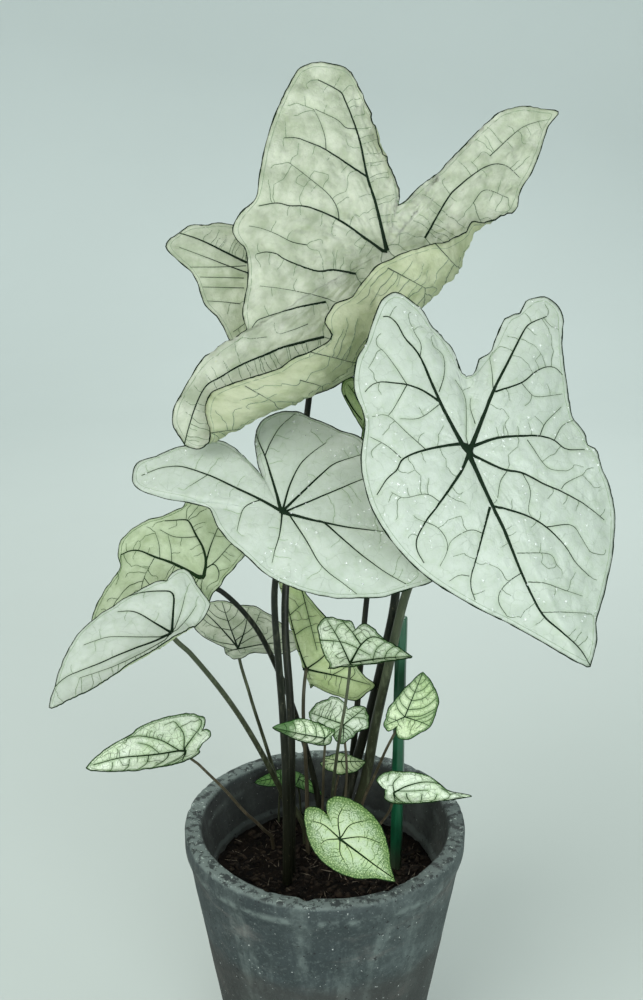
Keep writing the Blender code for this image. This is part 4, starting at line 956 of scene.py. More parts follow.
                heading.append(way / size)
                parent.append(int(node))
            if len(grown) == before:
                break
        return self.split_tree(np.array(grown), parent, rooted)

    def split_tree(self, nodes, parent, rooted):
        """Runs of points from each fine tip back to what it grew from."""
        load = np.ones(len(nodes))
        for k in range(len(nodes) - 1, rooted - 1, -1):
            if parent[k] >= rooted:
                load[parent[k]] += load[k]
        tips = set(range(rooted, len(nodes))) - {parent[k] for k in range(rooted, len(nodes))}
        used, runs = set(), []
        for tip in sorted(tips, key=lambda k: -k):
            run, k = [tip], tip
            while k >= rooted and k not in used:
                used.add(k)
                k = parent[k]
                run.append(k)
            run = run[::-1]
            if np.linalg.norm(nodes[run[0]] - nodes[run[-1]]) < self.sized(FINE_SHORTEST_MM):
                continue
            path = nodes[run]
            widths = FINE_WIDTH_MM + FINE_WIDTH_BY_LOAD_MM * np.sqrt(load[run])
            widths = widths * self.sized(FINE_WIDTH_SHARE)
            widths[0] = widths[1]
            smooth = evened(path)
            apart = np.linalg.norm(nodes - path[-1], axis=1)
            apart[run] = 99.0
            apart[[k for k in range(rooted, len(nodes)) if parent[k] == run[-2]]] = 99.0
            other = int(apart.argmin())
            ahead, onward = path[-1] - path[-2], nodes[other] - path[-1]
            straight = np.dot(ahead, onward) > 0.45 * np.linalg.norm(ahead) * np.linalg.norm(onward)
            if straight and 1.0 < apart[other] < self.sized(FINE_BRIDGE_MM):
                smooth = np.concatenate([smooth, [nodes[other]]])
                widths = np.append(widths, widths[-1])
            even = smooth_path(smooth, FINE_RIB_STEP_MM)
            widths = np.interp(np.linspace(0, 1, len(even)), np.linspace(0, 1, len(smooth)), widths)
            runs.append((np.minimum(widths, FINE_RIB_MOST_MM), even))
        return runs

    def quilt(self, depth):
        """Lets the blade swell between its ribs, as living leaves do."""
        noise.seed_set(NOISE_SEED)
        main = point_tree([path for _, _, path in self.main_ribs])
        fine = point_tree([path for _, path in self.fine_ribs] or [np.zeros((1, 2))])
        height, self.main_gap, self.vein_gap = np.zeros((3, *self.points.shape[:2]))
        seed, swell = self.rng.uniform(0, 50), self.sized(SWELL_MM)
        for r in range(self.rings + 1):
            for c in range(self.sectors):
                x, y = self.flat[r, c]
                near = main.find((x, y, 0))[2]
                near_fine = min(near, fine.find((x, y, 0))[2])
                self.main_gap[r, c], self.vein_gap[r, c] = near, near_fine
                wander = noise.noise_vector(Vector((x / 14, y / 14, seed)))
                pucker = noise.noise(Vector((x / 15 + seed, y / 15, seed)))
                fold = noise.noise(Vector((x / 6.5 + wander.x * 1.3, y / 6.5 + wander.y * 1.3, seed)))
                height[r, c] = ((1.0 - math.exp(-(near / swell) ** 2))
                                + 0.45 * (1.0 - math.exp(-(near_fine / 2.4) ** 2)) + 0.5 * pucker
                                + 0.75 * self.fold * (0.5 - abs(fold) * 2.0) * min(1.0, near / 4.0))
        height *= depth * self.scale * np.minimum(1.0, self.levels[:, None] * 4)
        self.points = self.points + self.normals() * height[..., None]


SHEETS = {}


def sheet_of(leaf):
    """The leaf's fine surface, made once."""
    if leaf.name not in SHEETS:
        SHEETS[leaf.name] = Sheet(leaf, bpy.context.scene.caladium_leaves)
    return SHEETS[leaf.name]


class Nodes:
    """Short ways to add nodes to one tree; most give back the new node's output."""

    def __init__(self, tree, point=None):
        self.tree, self.point = tree, point

    def fill(self, item, values):
        """Sets a node's sockets, to constants or by links from other sockets."""
        for key, value in values.items():
            socket = item.inputs[key]
            if isinstance(value, bpy.types.NodeSocket):
                self.tree.links.new(value, socket)
            else:
                socket.default_value = (*value, 1.0)[:4] if socket.type == "RGBA" else value
        return item

    def add(self, kind, values=(), **settings):
        """Adds a node: settings are its own properties, values its sockets."""
        item = self.tree.nodes.new(kind)
        for key, value in settings.items():
            setattr(item, key, value)
        return self.fill(item, dict(values))

    def math(self, operation, *values):
        return self.add("ShaderNodeMath", enumerate(values), operation=operation).outputs[0]

    def times(self, *values):
        return self.math("MULTIPLY", *values)

    def plus(self, *values):
        return self.math("ADD", *values)

    def vector(self, operation, *values, output=0, **named):
        return self.add("ShaderNodeVectorMath", {**dict(enumerate(values)), **named},
                        operation=operation).outputs[output]

    def mask(self, value, low, high, at_low=0.0, at_high=1.0):
        """Value mapped softly from low..high to at_low..at_high."""
        return self.add("ShaderNodeMapRange", enumerate((value, low, high, at_low, at_high)),
                        interpolation_type="SMOOTHSTEP").outputs[0]

    def mix(self, factor, a, b, mode="MIX"):
        return self.add("ShaderNodeMix", {0: factor, 6: a, 7: b}, data_type="RGBA",
                        blend_type=mode).outputs[2]

    def noise(self, scale, detail=4.0, rough=0.55, at=None):
        return self.add("ShaderNodeTexNoise", {"Vector": at or self.point, "Scale": scale,
                                               "Detail": detail, "Roughness": rough}).outputs[0]

    def mapped(self, **values):
        """The point stretched or moved."""
        return self.add("ShaderNodeMapping", {"Vector": self.point, **values}).outputs[0]

    def axes(self):
        return self.add("ShaderNodeSeparateXYZ", {0: self.point}).outputs

    def attribute(self, name):
        return self.add("ShaderNodeAttribute", attribute_name=name).outputs["Fac"]

    def mottle(self, scale, low, high, a, b):
        """Soft patches of two colours, and the mask that they are mixed by."""
        return self.add("ShaderNodeGroup", {"Point": self.point, "Scale": scale, "Low": low, "High": high,
                                            "Colour A": a, "Colour B": b}, node_tree=mottle_group()).outputs


class Look(Nodes):
    """A material being made: its Principled node, the point it is drawn at and its colour so far."""

    def __init__(self, name, uv=None):
        old = bpy.data.materials.get(name)
        if old:
            bpy.data.materials.remove(old)
        self.made = bpy.data.materials.new(name)
        self.made.use_nodes = True
        super().__init__(self.made.node_tree)
        self.shader = self.tree.nodes["Principled BSDF"]
        self.point = (self.add("ShaderNodeUVMap", uv_map=uv).outputs[0] if uv
                      else self.add("ShaderNodeTexCoord").outputs["Object"])

    def lay(self, colour, share):
        """Lays a colour over the one so far."""
        self.colour = self.mix(share, self.colour, colour)

    def patch(self, colour, *mask, within=None):
        """Lays a colour over the one so far where a value lies in a range."""
        share = self.mask(*mask)
        self.lay(colour, self.times(within, share) if within else share)

    def finish(self, rough, gloss=None, height=None, strength=1.0, depth=0.0):
        """Gives the shader its colour, roughness, gloss and relief."""
        values = {"Base Color": self.colour, "Roughness": rough}
        if gloss is not None:
            values["Specular IOR Level"] = gloss
        if height:
            values["Normal"] = self.add("ShaderNodeBump", {"Height": height, "Strength": strength,
                                                           "Distance": depth}).outputs[0]
        self.fill(self.shader, values)
        return self.made


def new_tree(name, kind, inputs, outputs):
    """Group tree with named (kind, name, default) sockets: its nodes, its inputs and its outputs."""
    tree = bpy.data.node_groups.new(name, kind)
    for way, sockets in (("INPUT", inputs), ("OUTPUT", outputs)):
        for label, socket_kind, *default in sockets:
            socket = tree.interface.new_socket(label, in_out=way, socket_type="NodeSocket" + socket_kind)
            if default:
                socket.default_value = default[0]
    nodes = Nodes(tree)
    return nodes, nodes.add("NodeGroupInput").outputs, nodes.add("NodeGroupOutput")


def mottle_group():
    """Soft patches: puts out a colour between two and the mask that it mixed by."""
    found = bpy.data.node_groups.get("Mottle")
    if found:
        return found
    nodes, given, made = new_tree(
        "Mottle", "ShaderNodeTree",
        [("Point", "Vector"), ("Scale", "Float", 20.0), ("Low", "Float", 0.4), ("High", "Float", 0.6),
         ("Colour A", "Color"), ("Colour B", "Color")], [("Colour", "Color"), ("Mask", "Float")])
    mask = nodes.mask(nodes.noise(given["Scale"], 5.0, 0.6, given["Point"]), given["Low"], given["High"])
    nodes.fill(made, {"Colour": nodes.mix(mask, given["Colour A"], given["Colour B"]), "Mask": mask})
    return nodes.tree


def leaf_net_group():
    """Net of the finest veins, from the leaf's own map: a line mask and a swelling between lines."""
    found = bpy.data.node_groups.get("Leaf net")
    if found:
        return found
    nodes, given, made = new_tree(
        "Leaf net", "ShaderNodeTree",
        [("Leaf point", "Vector"), ("Cell size", "Float", 0.045), ("Line width", "Float", 0.07)],
        [("Lines", "Float"), ("Swelling", "Float")])
    point, size = given["Leaf point"], given["Cell size"]
    scale = nodes.math("DIVIDE", 1.0, size)
    bend = nodes.add("ShaderNodeTexNoise", {"Vector": point, "Scale": scale, "Detail": 3.5})
    drift = nodes.vector("SCALE", bend.outputs["Color"], Scale=nodes.times(size, 1.1))
    cells = nodes.add("ShaderNodeTexVoronoi", {"Vector": nodes.vector("ADD", point, drift), "Scale": scale},
                      feature="DISTANCE_TO_EDGE", voronoi_dimensions="2D").outputs["Distance"]
    nodes.fill(made, {"Lines": nodes.mask(cells, 0.0, given["Line width"], 1.0, 0.0),
                      "Swelling": nodes.mask(cells, 0.0, 0.5)})
    return nodes.tree


def leaf_look(name, pale, green, glow, vein, halo, edge, edge_width, fleck, net, relief=0.22,
              cell=0.115, line=0.032, through=0.33, tip=None):
    """Thin living blade: mottled ground, veins' green cast, fine net, margin band, light through it."""
    look = Look(name, "leaf")
    margin = look.attribute("margin_mm")
    look.colour = look.mottle(4.5, 0.32, 0.74, pale, green)["Colour"]
    cells = look.noise(15.0, 4.0, 0.65)
    look.patch(vein, cells, 0.45, 0.75, 0.0, 0.30)
    coarse, fine = (look.add("ShaderNodeGroup", {"Leaf point": look.point, "Cell size": size,
                                                 "Line width": width}, node_tree=leaf_net_group()).outputs
                    for size, width in ((cell, line), (0.019, 0.16)))
    patchy = look.mask(look.noise(5.0, 2.0), 0.36, 0.62, 0.25, 1.0)
    look.lay((0.05, 0.09, 0.04), look.times(look.times(coarse["Lines"], net), patchy))
    look.lay(vein, look.times(fine["Lines"], net * 0.20))
    look.patch(vein, look.attribute("rib_mm"), 0.4, 3.6, halo, 0.0)
    look.patch(vein, look.attribute("vein_mm"), 0.2, 1.9, halo * 0.8, 0.0)
    ragged = look.plus(margin, look.times(cells, -edge_width * 0.7))
    look.patch(vein, ragged, -0.3 * edge_width, edge_width, edge, 0.0)
    if fleck:
        spots = look.math("SUBTRACT", look.noise(80.0, 4.0, 0.75), look.mask(margin, 0.0, fleck, 0.42, 0.57))
        look.patch((0.030, 0.105, 0.018), spots, 0.0, 0.05, within=look.mask(margin, 0.0, fleck, 0.92, 0.50))
    if tip:
        along = look.plus(look.axes()[0], look.times(cells, 0.10))
        look.patch((0.035, 0.13, 0.02), along, tip, tip + 0.07, 0.0, 0.9)
    swell = look.plus(look.times(coarse["Swelling"], 0.30), look.times(cells, 1.5))
    swell = look.plus(swell, look.times(fine["Swelling"], 0.12))
    look.finish(0.40, 0.40, swell, relief, 0.0022)
    shine = look.add("ShaderNodeBsdfTranslucent", {"Color": look.mix(0.5, look.colour, glow)})
    both = look.add("ShaderNodeMixShader", {0: through, 1: look.shader.outputs[0], 2: shine.outputs[0]})
    look.fill(look.tree.nodes["Material Output"], {"Surface": both.outputs[0]})
    return look.made


def rib_look(name, dark, light):
    """Leaf ribs: dark where thick, greyer and lighter where thin."""
    look = Look(name)
    look.colour = look.mix(look.attribute("tone"), dark, light)
    look.lay((0.10, 0.15, 0.07), look.times(look.noise(900.0, 2.0), 0.06))
    return look.finish(0.6, 0.02)


def stalk_look(name, low, high, streak):
    """Leaf stalk: long fine streaks, darker low down, a waxy gloss."""
    look = Look(name)
    lines = look.noise(1.0, 4.0, 0.6, look.mapped(Scale=(260.0, 260.0, 9.0)))
    look.colour = look.mix(look.mask(look.axes()[2], 0.20, 0.55), low, high)
    look.patch(streak, lines, 0.48, 0.72, 0.0, 0.75)
    look.patch((0.16, 0.15, 0.09), look.noise(420.0, 3.0, 0.7), 0.62, 0.74, 0.0, 0.5)
    return look.finish(look.mask(lines, 0.3, 0.7, 0.38, 0.55), 0.20, lines, 0.25, 0.0004)


def pot_look(dark, middle, bloom_and_painted_light):
    """Weathered dark body: pale mineral deposits on the rim, rain streaks, pits and specks, with painted
    light paling the body towards +X and the rim top towards -X, and painted shade darkening the inner wall.
    """
    look = Look("pot_weathered")
    x, y, z = look.axes()
    look.colour = look.mottle(14.0, 0.36, 0.66, dark, middle)["Colour"]
    streaks = look.noise(1.0, 6.0, 0.65, look.mapped(Scale=(34.0, 34.0, 5.0)))
    look.patch(bloom_and_painted_light, streaks, 0.48, 0.70, 0.0, 0.70)
    # Painted light: the pale colour grows towards +X, lightening the body's right side as if light fell
    # there.
    look.patch(bloom_and_painted_light, x, 0.01, 0.11, 0.0, 0.42)
    smears = look.noise(1.0, 6.0, 0.7, look.mapped(Scale=(9.0, 9.0, 26.0)))
    look.patch((0.135, 0.128, 0.115), smears, 0.52, 0.72, 0.0, 0.65)
    look.patch((0.020, 0.028, 0.028), look.noise(34.0, 7.0, 0.72), 0.42, 0.60, 0.60, 0.0)
    look.patch(bloom_and_painted_light, look.noise(260.0, 5.0, 0.75), 0.50, 0.70, 0.0, 0.35)
    rim_top = look.mask(z, POT_HEIGHT - 0.0045, POT_HEIGHT - 0.0005)
    patches = look.noise(58.0, 6.0, 0.68)
    # Painted light: on the rim top the pale colour grows towards -X, so the rim's left part looks lit.
    look.patch(bloom_and_painted_light, x, -0.02, 0.12, 0.85, 0.30, within=rim_top)
    look.patch((0.018, 0.023, 0.023), look.noise(125.0, 5.0, 0.72), 0.50, 0.57, 0.0, 0.90, within=rim_top)
    crumbs = look.noise(190.0, 4.0, 0.7, look.mapped(Location=(5.0, 2.0, 1.0)))
    look.patch((0.30, 0.36, 0.33), crumbs, 0.60, 0.66, 0.0, 0.8, within=rim_top)
    from_ledge = look.math("ABSOLUTE", look.math("SUBTRACT", z, POT_HEIGHT - COLLAR_DEPTH))
    look.patch(bloom_and_painted_light, patches, 0.42, 0.62, 0.0, 0.75, within=look.mask(from_ledge, 0.0, 0.006, 1.0, 0.0))
    far = look.math("SQRT", look.plus(look.times(x, x), look.times(y, y)))
    wall = RIM_RADIUS - RIM_WALL
    inside = look.mask(far, wall - 0.0015, wall + 0.0015, 1.0, 0.0)
    # Painted shade: the inner wall is darkened, as if shade fell inside the pot.
    look.lay((0.030, 0.029, 0.025), look.times(inside, 0.55))
    tide = look.math("SUBTRACT", look.plus(z, look.times(look.noise(40.0), 0.012)), SOIL_TOP + 0.014)
    look.patch(bloom_and_painted_light, look.math("ABSOLUTE", tide), 0.0015, 0.0045, 0.35, 0.0, within=inside)
    specks = look.noise(330.0, 2.0, 0.6)
    look.patch((0.42, 0.46, 0.44), specks, 0.70, 0.76, 0.0, 0.8)
    dots = look.noise(210.0, 2.0, 0.6, look.mapped(Location=(3.0, 1.0, 7.0)))
    look.patch((0.012, 0.013, 0.014), dots, 0.66, 0.72, 0.0, 0.85)
    relief = look.plus(look.times(patches, 0.7), look.times(specks, 0.5))
    return look.finish(look.mask(streaks, 0.35, 0.70, 0.72, 0.92), 0.22, relief, 0.55, 0.0012)


def soil_look():
    """Dark crumbly potting mix with paler fibres and damp patches."""
    look = Look("soil_mix")
    look.colour, damp = look.mottle(90.0, 0.35, 0.65, (0.0012, 0.0010, 0.0008), (0.007, 0.005, 0.0035))
    grains = look.noise(620.0, 4.0, 0.7)
    look.patch((0.075, 0.052, 0.034), grains, 0.60, 0.74, 0.0, 0.6)
    return look.finish(look.mask(damp, 0.0, 1.0, 0.80, 0.98), 0.08, grains, 0.8, 0.0015)


def litter_look(name, dark, pale):
    """Bark and root bits: brown grain along each piece, some paler than others."""
    look = Look(name)
    look.colour = look.mottle(130.0, 0.38, 0.66, dark, pale)["Colour"]
    grain = look.noise(900.0, 3.0, 0.6, look.mapped(Scale=(1.0, 2.6, 1.0)))
    look.lay(dark, look.times(grain, 0.5))
    return look.finish(0.9, 0.12, grain, 0.4, 0.0006)


def stake_look():
    """Green coated stake with fine scratches along it and a dusty foot."""
    look = Look("stake_green")
    look.colour = look.mottle(26.0, 0.3, 0.7, (0.003, 0.040, 0.017), (0.004, 0.066, 0.028))["Colour"]
    lines = look.noise(1.0, 3.0, 0.6, look.mapped(Scale=(420.0, 420.0, 14.0)))
    look.patch((0.020, 0.120, 0.060), lines, 0.60, 0.74, 0.0, 0.45)
    look.patch((0.05, 0.045, 0.03), look.axes()[2], 0.19, 0.225, 0.6, 0.0)
    return look.finish(look.mask(lines, 0.3, 0.7, 0.28, 0.42), None, lines, 0.2, 0.0004)


def drop_look():
    """Glossy water drops with a pale whitish colour at part opacity, which paints in their bright glints; a
    little uneven.
    """
    look = Look("water")
    # Painted highlight: the whitish colour brightens each drop in place of its glint.
    look.colour, share = look.mottle(400.0, 0.4, 0.6, (0.78, 0.86, 0.82), (0.95, 1.0, 0.97))
    look.fill(look.shader, {"Alpha": 0.32})
    return look.finish(look.mask(share, 0.0, 1.0, 0.03, 0.08), 0.9)


def floor_look(near, far):
    """Matt studio ground that pales towards the back."""
    look = Look("studio_floor")
    tone = look.mottle(0.8, 0.3, 0.7, (0.97, 0.97, 0.97), (1.0, 1.0, 1.0))["Colour"]
    look.colour = look.mix(look.mask(look.axes()[1], -0.4, 3.6), near, far)
    look.colour = look.mix(1.0, look.colour, tone, "MULTIPLY")
    return look.finish(0.6, 0.2)


def new_object(name, mesh, slot, looks, solid=None):
    """A finished piece of the object: its body, its materials, the solid it replaces; the slot argument is
    not used.
    """
    old = bpy.data.objects.get(name)
    if old:
        bpy.data.objects.remove(old, do_unlink=True)
    item = bpy.data.objects.new(name, mesh)
    bpy.context.scene.collection.objects.link(item)
    if mesh.materials:
        mesh.materials.clear()
    for look in looks:
        mesh.materials.append(look)
    mesh.shade_smooth()
    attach(item, BODY)
    if solid:
        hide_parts(solid)
    return item


def mesh_of(name, points, faces, edges=()):
    """A plain mesh of points, faces and loose edges."""
    mesh = bpy.data.meshes.new(name)
    mesh.from_pydata([tuple(p) for p in points], edges, faces)
    mesh.update()
    return mesh


def ringed(name, rings):
    """Closed mesh through rings of points; a ring of one point closes an end."""
    points, faces, first = [p for ring in rings for p in ring], [], 0
    for lower, upper in zip(rings, rings[1:]):
        a, b, sides = first, first + len(lower), max(len(lower), len(upper))
        for k in range(sides):
            n = (k + 1) % sides
            if len(lower) == 1:
                faces.append((a, b + n, b + k))
            elif len(upper) == 1:
                faces.append((a + k, a + n, b))
            else:
                faces.append((a + k, a + n, b + n, b + k))
        first = b
    return mesh_of(name, points, faces)


def around(sides):
    """Even angles of a full turn."""
    return [2 * math.pi * k / sides for k in range(sides)]


def set_values(mesh, name, values, kind="FLOAT"):
    """Gives a mesh a value, or a vector, at each of its points."""
    mesh.attributes.new(name, kind, "POINT").data.foreach_set(
        "vector" if kind == "FLOAT_VECTOR" else "value", np.array(values, np.float32).ravel())


def make_blade(leaf, settings, looks):
    """Closed fine blade with its leaf map and its margin and rib distances."""
    sheet = sheet_of(leaf)
    taper = np.minimum(1.0, 0.45 + 3.0 * (1.0 - sheet.levels))[:, None, None]
    half = sheet.normals() * (settings.blade_thickness / 2 * taper)
    rings, count = sheet.rings, sheet.sectors
    points = []
    for side in (sheet.points + half, sheet.points - half):
        points += [side[0, 0], *side[1:].reshape(-1, 3)]
    below = len(points) // 2
    faces, under = [], []
    for k in range(count):
        n = (k + 1) % count
        faces.append((0, 1 + k, 1 + n))
        under.append((below, below + 1 + n, below + 1 + k))
        for low in range(1, 1 + (rings - 1) * count, count):
            high = low + count
            faces.append((low + k, high + k, high + n, low + n))
            under.append((below + low + k, below + low + n, below + high + n, below + high + k))
        edge = 1 + (rings - 1) * count
        under.append((edge + k, below + edge + k, below + edge + n, edge + n))
    mesh = mesh_of("leaf_" + leaf.name, points, faces + under)
    mesh.polygons.foreach_set("material_index", [0] * len(faces) + [1] * len(under))
    flat = np.concatenate([[[0.0, 0.0]], sheet.flat[1:].reshape(-1, 2)]) / LEAF_MAP_MM
    corner = np.zeros(len(mesh.loops), int)
    mesh.loops.foreach_get("vertex_index", corner)
    mesh.uv_layers.new(name="leaf").data.foreach_set("uv", flat[corner % below].ravel())
    edge_gap = (1.0 - sheet.levels)[:, None] * sheet.reach[None, :]
    for name, grid in (("margin_mm", edge_gap), ("rib_mm", sheet.main_gap), ("vein_mm", sheet.vein_gap)):
        set_values(mesh, name, np.tile(np.append(grid[0, 0], grid[1:]), 2))
    new_object("leaf_" + leaf.name, mesh, leaf.colour, looks, "blade_" + leaf.name)


def rib_tree():
    """Geometry Nodes: edges with a half width and a sheet normal become flattened ribs."""
    nodes, given, made = new_tree(
        "Leaf ribs", "GeometryNodeTree",
        [("Geometry", "Geometry"), ("Sides", "Int", 6), ("Look", "Material")], [("Geometry", "Geometry")])

    def read(name, kind="FLOAT"):
        return nodes.add("GeometryNodeInputNamedAttribute", {"Name": name}, data_type=kind).outputs[0]

    curve = nodes.add("GeometryNodeMeshToCurve", {"Mesh": given["Geometry"]}).outputs[0]
    spot = nodes.add("GeometryNodeInputPosition").outputs[0]
    kept = nodes.add("GeometryNodeCaptureAttribute", {"Geometry": curve})
    kept.capture_items.new("VECTOR", "Middle")
    nodes.fill(kept, {1: spot})
    ring = nodes.add("GeometryNodeCurvePrimitiveCircle", {"Resolution": given["Sides"], "Radius": 1.0})
    tube = nodes.add("GeometryNodeCurveToMesh", {
        "Curve": kept.outputs[0], "Profile Curve": ring.outputs[0], "Scale": read("half_width"),
        "Fill Caps": True}).outputs[0]
    normal = read("sheet_normal", "FLOAT_VECTOR")
    offset = nodes.vector("SUBTRACT", spot, kept.outputs[1])
    rise = nodes.vector("DOT_PRODUCT", offset, normal, output="Value")
    back = nodes.vector("SCALE", normal, Scale=nodes.times(rise, read("flatness")))
    flat = nodes.add("GeometryNodeSetPosition", {
        "Geometry": tube, "Position": nodes.vector("SUBTRACT", spot, back)}).outputs[0]
    finish_tree(nodes, given, made, flat)
    return nodes.tree


def finish_tree(nodes, given, made, geometry):
    """Ends a Geometry Nodes tree by setting its material."""
    looked = nodes.add("GeometryNodeSetMaterial", {"Geometry": geometry, "Material": given["Look"]})
    nodes.fill(made, {"Geometry": looked.outputs[0]})


def baked(mesh, tree, name, values):
    """Runs a Geometry Nodes tree on a mesh, which it removes, and returns its result as a plain mesh."""
    item = bpy.data.objects.new(name + "_start", mesh)
    bpy.context.scene.collection.objects.link(item)
    step = item.modifiers.new("nodes", "NODES")
    step.node_group = tree
    for socket in tree.interface.items_tree:
        if socket.in_out == "INPUT" and socket.name in values:
            step[socket.identifier] = values[socket.name]
    bpy.context.view_layer.update()
    depsgraph = bpy.context.evaluated_depsgraph_get()
    result = bpy.data.meshes.new_from_object(item.evaluated_get(depsgraph), depsgraph=depsgraph)
    result.name = name
    item.modifiers.remove(step)
    bpy.data.objects.remove(item, do_unlink=True)
    bpy.data.meshes.remove(mesh)
    return result


def rib_runs(sheet):
    """(path, width mm, tone) of every rib of a leaf, of its margin and of the line inside it."""
    runs = []
    for start, end, path in sheet.main_ribs:
        s = np.linspace(0, 1, len(path))
        width = (end + (start - end) * (1 - s) ** RIB_TAPER) * sheet.sized(RIB_WIDTH_SHARE)
        if start > 1.5 and np.linalg.norm(path[0]) < 1:
            far = np.hypot(path[:, 0], path[:, 1])
            width = width + JOINT_SWELL * start * np.exp(-far / (JOINT_SWELL_REACH * start))
        runs.append((path, width, np.clip(0.34 - 0.30 * width, 0.0, 0.34)))
    for width, path in sheet.fine_ribs:
        runs.append((path, width, np.clip(sheet.faint - 0.75 * width, 0.04, 1.0)))
    edge = np.concatenate([sheet.flat[-1], sheet.flat[-1, :1]])
    uneven = np.array([noise.noise(Vector((x / 9, y / 9, 3.0))) for x, y in edge])
    uneven[-1] = uneven[0]
    runs.append((edge * 0.9985, sheet.sized(MARGIN_WIDTH_MM) * (1 + 1.1 * uneven), np.zeros(len(edge))))
    line = sheet.inner_line(sheet.sized(INNER_LINE_INSET_MM))
    line = np.concatenate([line, line[:1]])
    runs.append((line, np.full(len(line), sheet.sized(INNER_LINE_WIDTH_MM)), np.full(len(line), 0.95)))
    return runs


def make_ribs(leaf, tree, settings, look):
    """All ribs and the margin line of one leaf in one mesh."""
    sheet = sheet_of(leaf)
    normals, runs = sheet.normals(), rib_runs(sheet)
    edges, first = [], 0
    for path, _, _ in runs:
        edges.extend((first + k, first + k + 1) for k in range(len(path) - 1))
        first += len(path)
    path, width, tone = (np.concatenate(rows) for rows in zip(*runs))
    up = sheet.place(path, normals)
    up /= np.linalg.norm(up, axis=1, keepdims=True)
    width = width * settings.rib_width
    thick = settings.blade_thickness / 2 + RIB_RISE + RIB_RISE_BY_WIDTH * width
    mesh = mesh_of("rib_paths", sheet.place(path, sheet.points), [], edges)
    for name, values in (("half_width", width / 2000), ("flatness", 1.0 - thick / (width / 2000)),
                         ("tone", tone)):
        set_values(mesh, name, values)
    set_values(mesh, "sheet_normal", up, "FLOAT_VECTOR")
    result = baked(mesh, tree, "ribs_" + leaf.name, {"Sides": 6, "Look": look})
    new_object("ribs_" + leaf.name, result, "stalk_dark", [look])


def make_stalk(leaf, look):
    """Round stalk that thins towards the blade, with a slightly uneven skin and a sheathed foot."""
    wide, thin = (r / 1000 for r in leaf.radii)
    length = np.linalg.norm(leaf.joint - np.array([0, 0, SOIL_TOP]))
    path, share = stalk_path(leaf, max(24, round(length / STALK_STEP)))
    ahead = np.gradient(path, axis=0)
    ahead /= np.linalg.norm(ahead, axis=1)[:, None]
    ahead[0] = ahead[1] = (0, 0, 1)
    ahead[-1] = stalk_end(leaf)[1]
    across = np.array([1.0, 0.0, 0.0])
    seed = random.Random(leaf.name).uniform(0, 40)
    rings = [[path[0]]]
    for k, (centre, way) in enumerate(zip(path, ahead)):
        across = across - way * np.dot(across, way)
        across /= np.linalg.norm(across)
        other = np.cross(way, across)
        base = wide if k < 2 else wide + (thin - wide) * min(1.0, share[k] * 1.05) ** 0.8
        ring = []
        for n, a in enumerate(around(STALK_SIDES)):
            skin = noise.noise(Vector((math.cos(a) * 0.8 + seed, math.sin(a) * 0.8, centre[2] * 22)))
            uneven = STALK_SKIN * skin - STALK_GROOVE * math.exp(-((n - GROOVE_SIDE) / GROOVE_WIDTH) ** 2)
            offset = (across * math.cos(a) + other * math.sin(a)) * base * (1 + uneven)
            if k == len(path) - 1:
                offset = offset - way * np.dot(offset, leaf.normal) / np.dot(way, leaf.normal)
            ring.append(centre + offset)
        rings.append(ring)
    mesh = ringed("petiole_" + leaf.name, rings + [[path[-1]]])
    new_object("petiole_" + leaf.name, mesh, leaf.stalk_colour, [look], "stalk_" + leaf.name)


def inner_radius(height):
    """Radius of the pot's inner wall."""
    share = (height - FLOOR) / (POT_HEIGHT - FLOOR)
    return INNER_BASE_RADIUS + share * (RIM_RADIUS - RIM_WALL - INNER_BASE_RADIUS)


def fine_profile(rows, spacing, rounds):
    """Rows of a turned profile with its corners rounded and its long runs divided."""
    out = [rows[0]]
    for before, here, after, soft in zip(rows, rows[1:], rows[2:], rounds):
        b, h, a = (np.array(p) for p in (before, here, after))
        back, on = b - h, a - h
        cut = min(soft, 0.45 * np.linalg.norm(back), 0.45 * np.linalg.norm(on))
        first = h + back / np.linalg.norm(back) * cut
        last = h + on / np.linalg.norm(on) * cut
        out += [tuple(first * (1 - t) ** 2 + h * 2 * t * (1 - t) + last * t * t)
                for t in (0, 0.25, 0.5, 0.75, 1)]
    out.append(rows[-1])
    fine = [out[0]]
    for a, b in zip(out, out[1:]):
        steps = max(1, round(math.dist(a, b) / spacing))
        fine.extend((a[0] + (b[0] - a[0]) * k / steps, a[1] + (b[1] - a[1]) * k / steps)
                    for k in range(1, steps + 1))
    return [(0.0 if r < 1e-6 else r, z) for r, z in fine]


def grain(at, layers):
    """Height of a grainy skin at a place."""
    return sum(noise.noise(at * often) * size for often, size in layers)


def hollows(at, often, shift, least, depth):
    """Depth of scattered hollows at a place."""
    return max(0.0, noise.noise(at * often + Vector(shift)) - least) * depth


def pot_shift(radius, height, a):
    """Hand-made unevenness: a wavy rim, chips along its edges, worn hollows in the body."""
    if height < 0.004:
        return 0.0, 0.0
    at = Vector((radius * math.cos(a), radius * math.sin(a), height))
    ledge = POT_HEIGHT - COLLAR_DEPTH
    near_rim = max(0.0, min(1.0, (height - ledge) / 0.012))
    dr = near_rim * RIM_WAVE * math.sin(3 * a + 0.6) * 0.6
    dz = near_rim * RIM_WAVE * (math.sin(2 * a + 1.0) + 0.6 * math.sin(7 * a))
    outer = radius > inner_radius(height) + 0.006
    pits = hollows(at, *POT_PITS)
    edge = max(0.0, 1 - abs(height - POT_HEIGHT) / 0.006)
    chip = hollows(at, *POT_CHIPS) * edge
    worn = max(0.0, 1 - abs(height - ledge) / 0.004)
    chip += hollows(at, *POT_WEAR) * worn * outer
    side = 1.0 if outer else -1.0
    return dr + side * (grain(at, POT_GRAIN) - pits - chip), dz - (chip + pits) * near_rim * 0.6


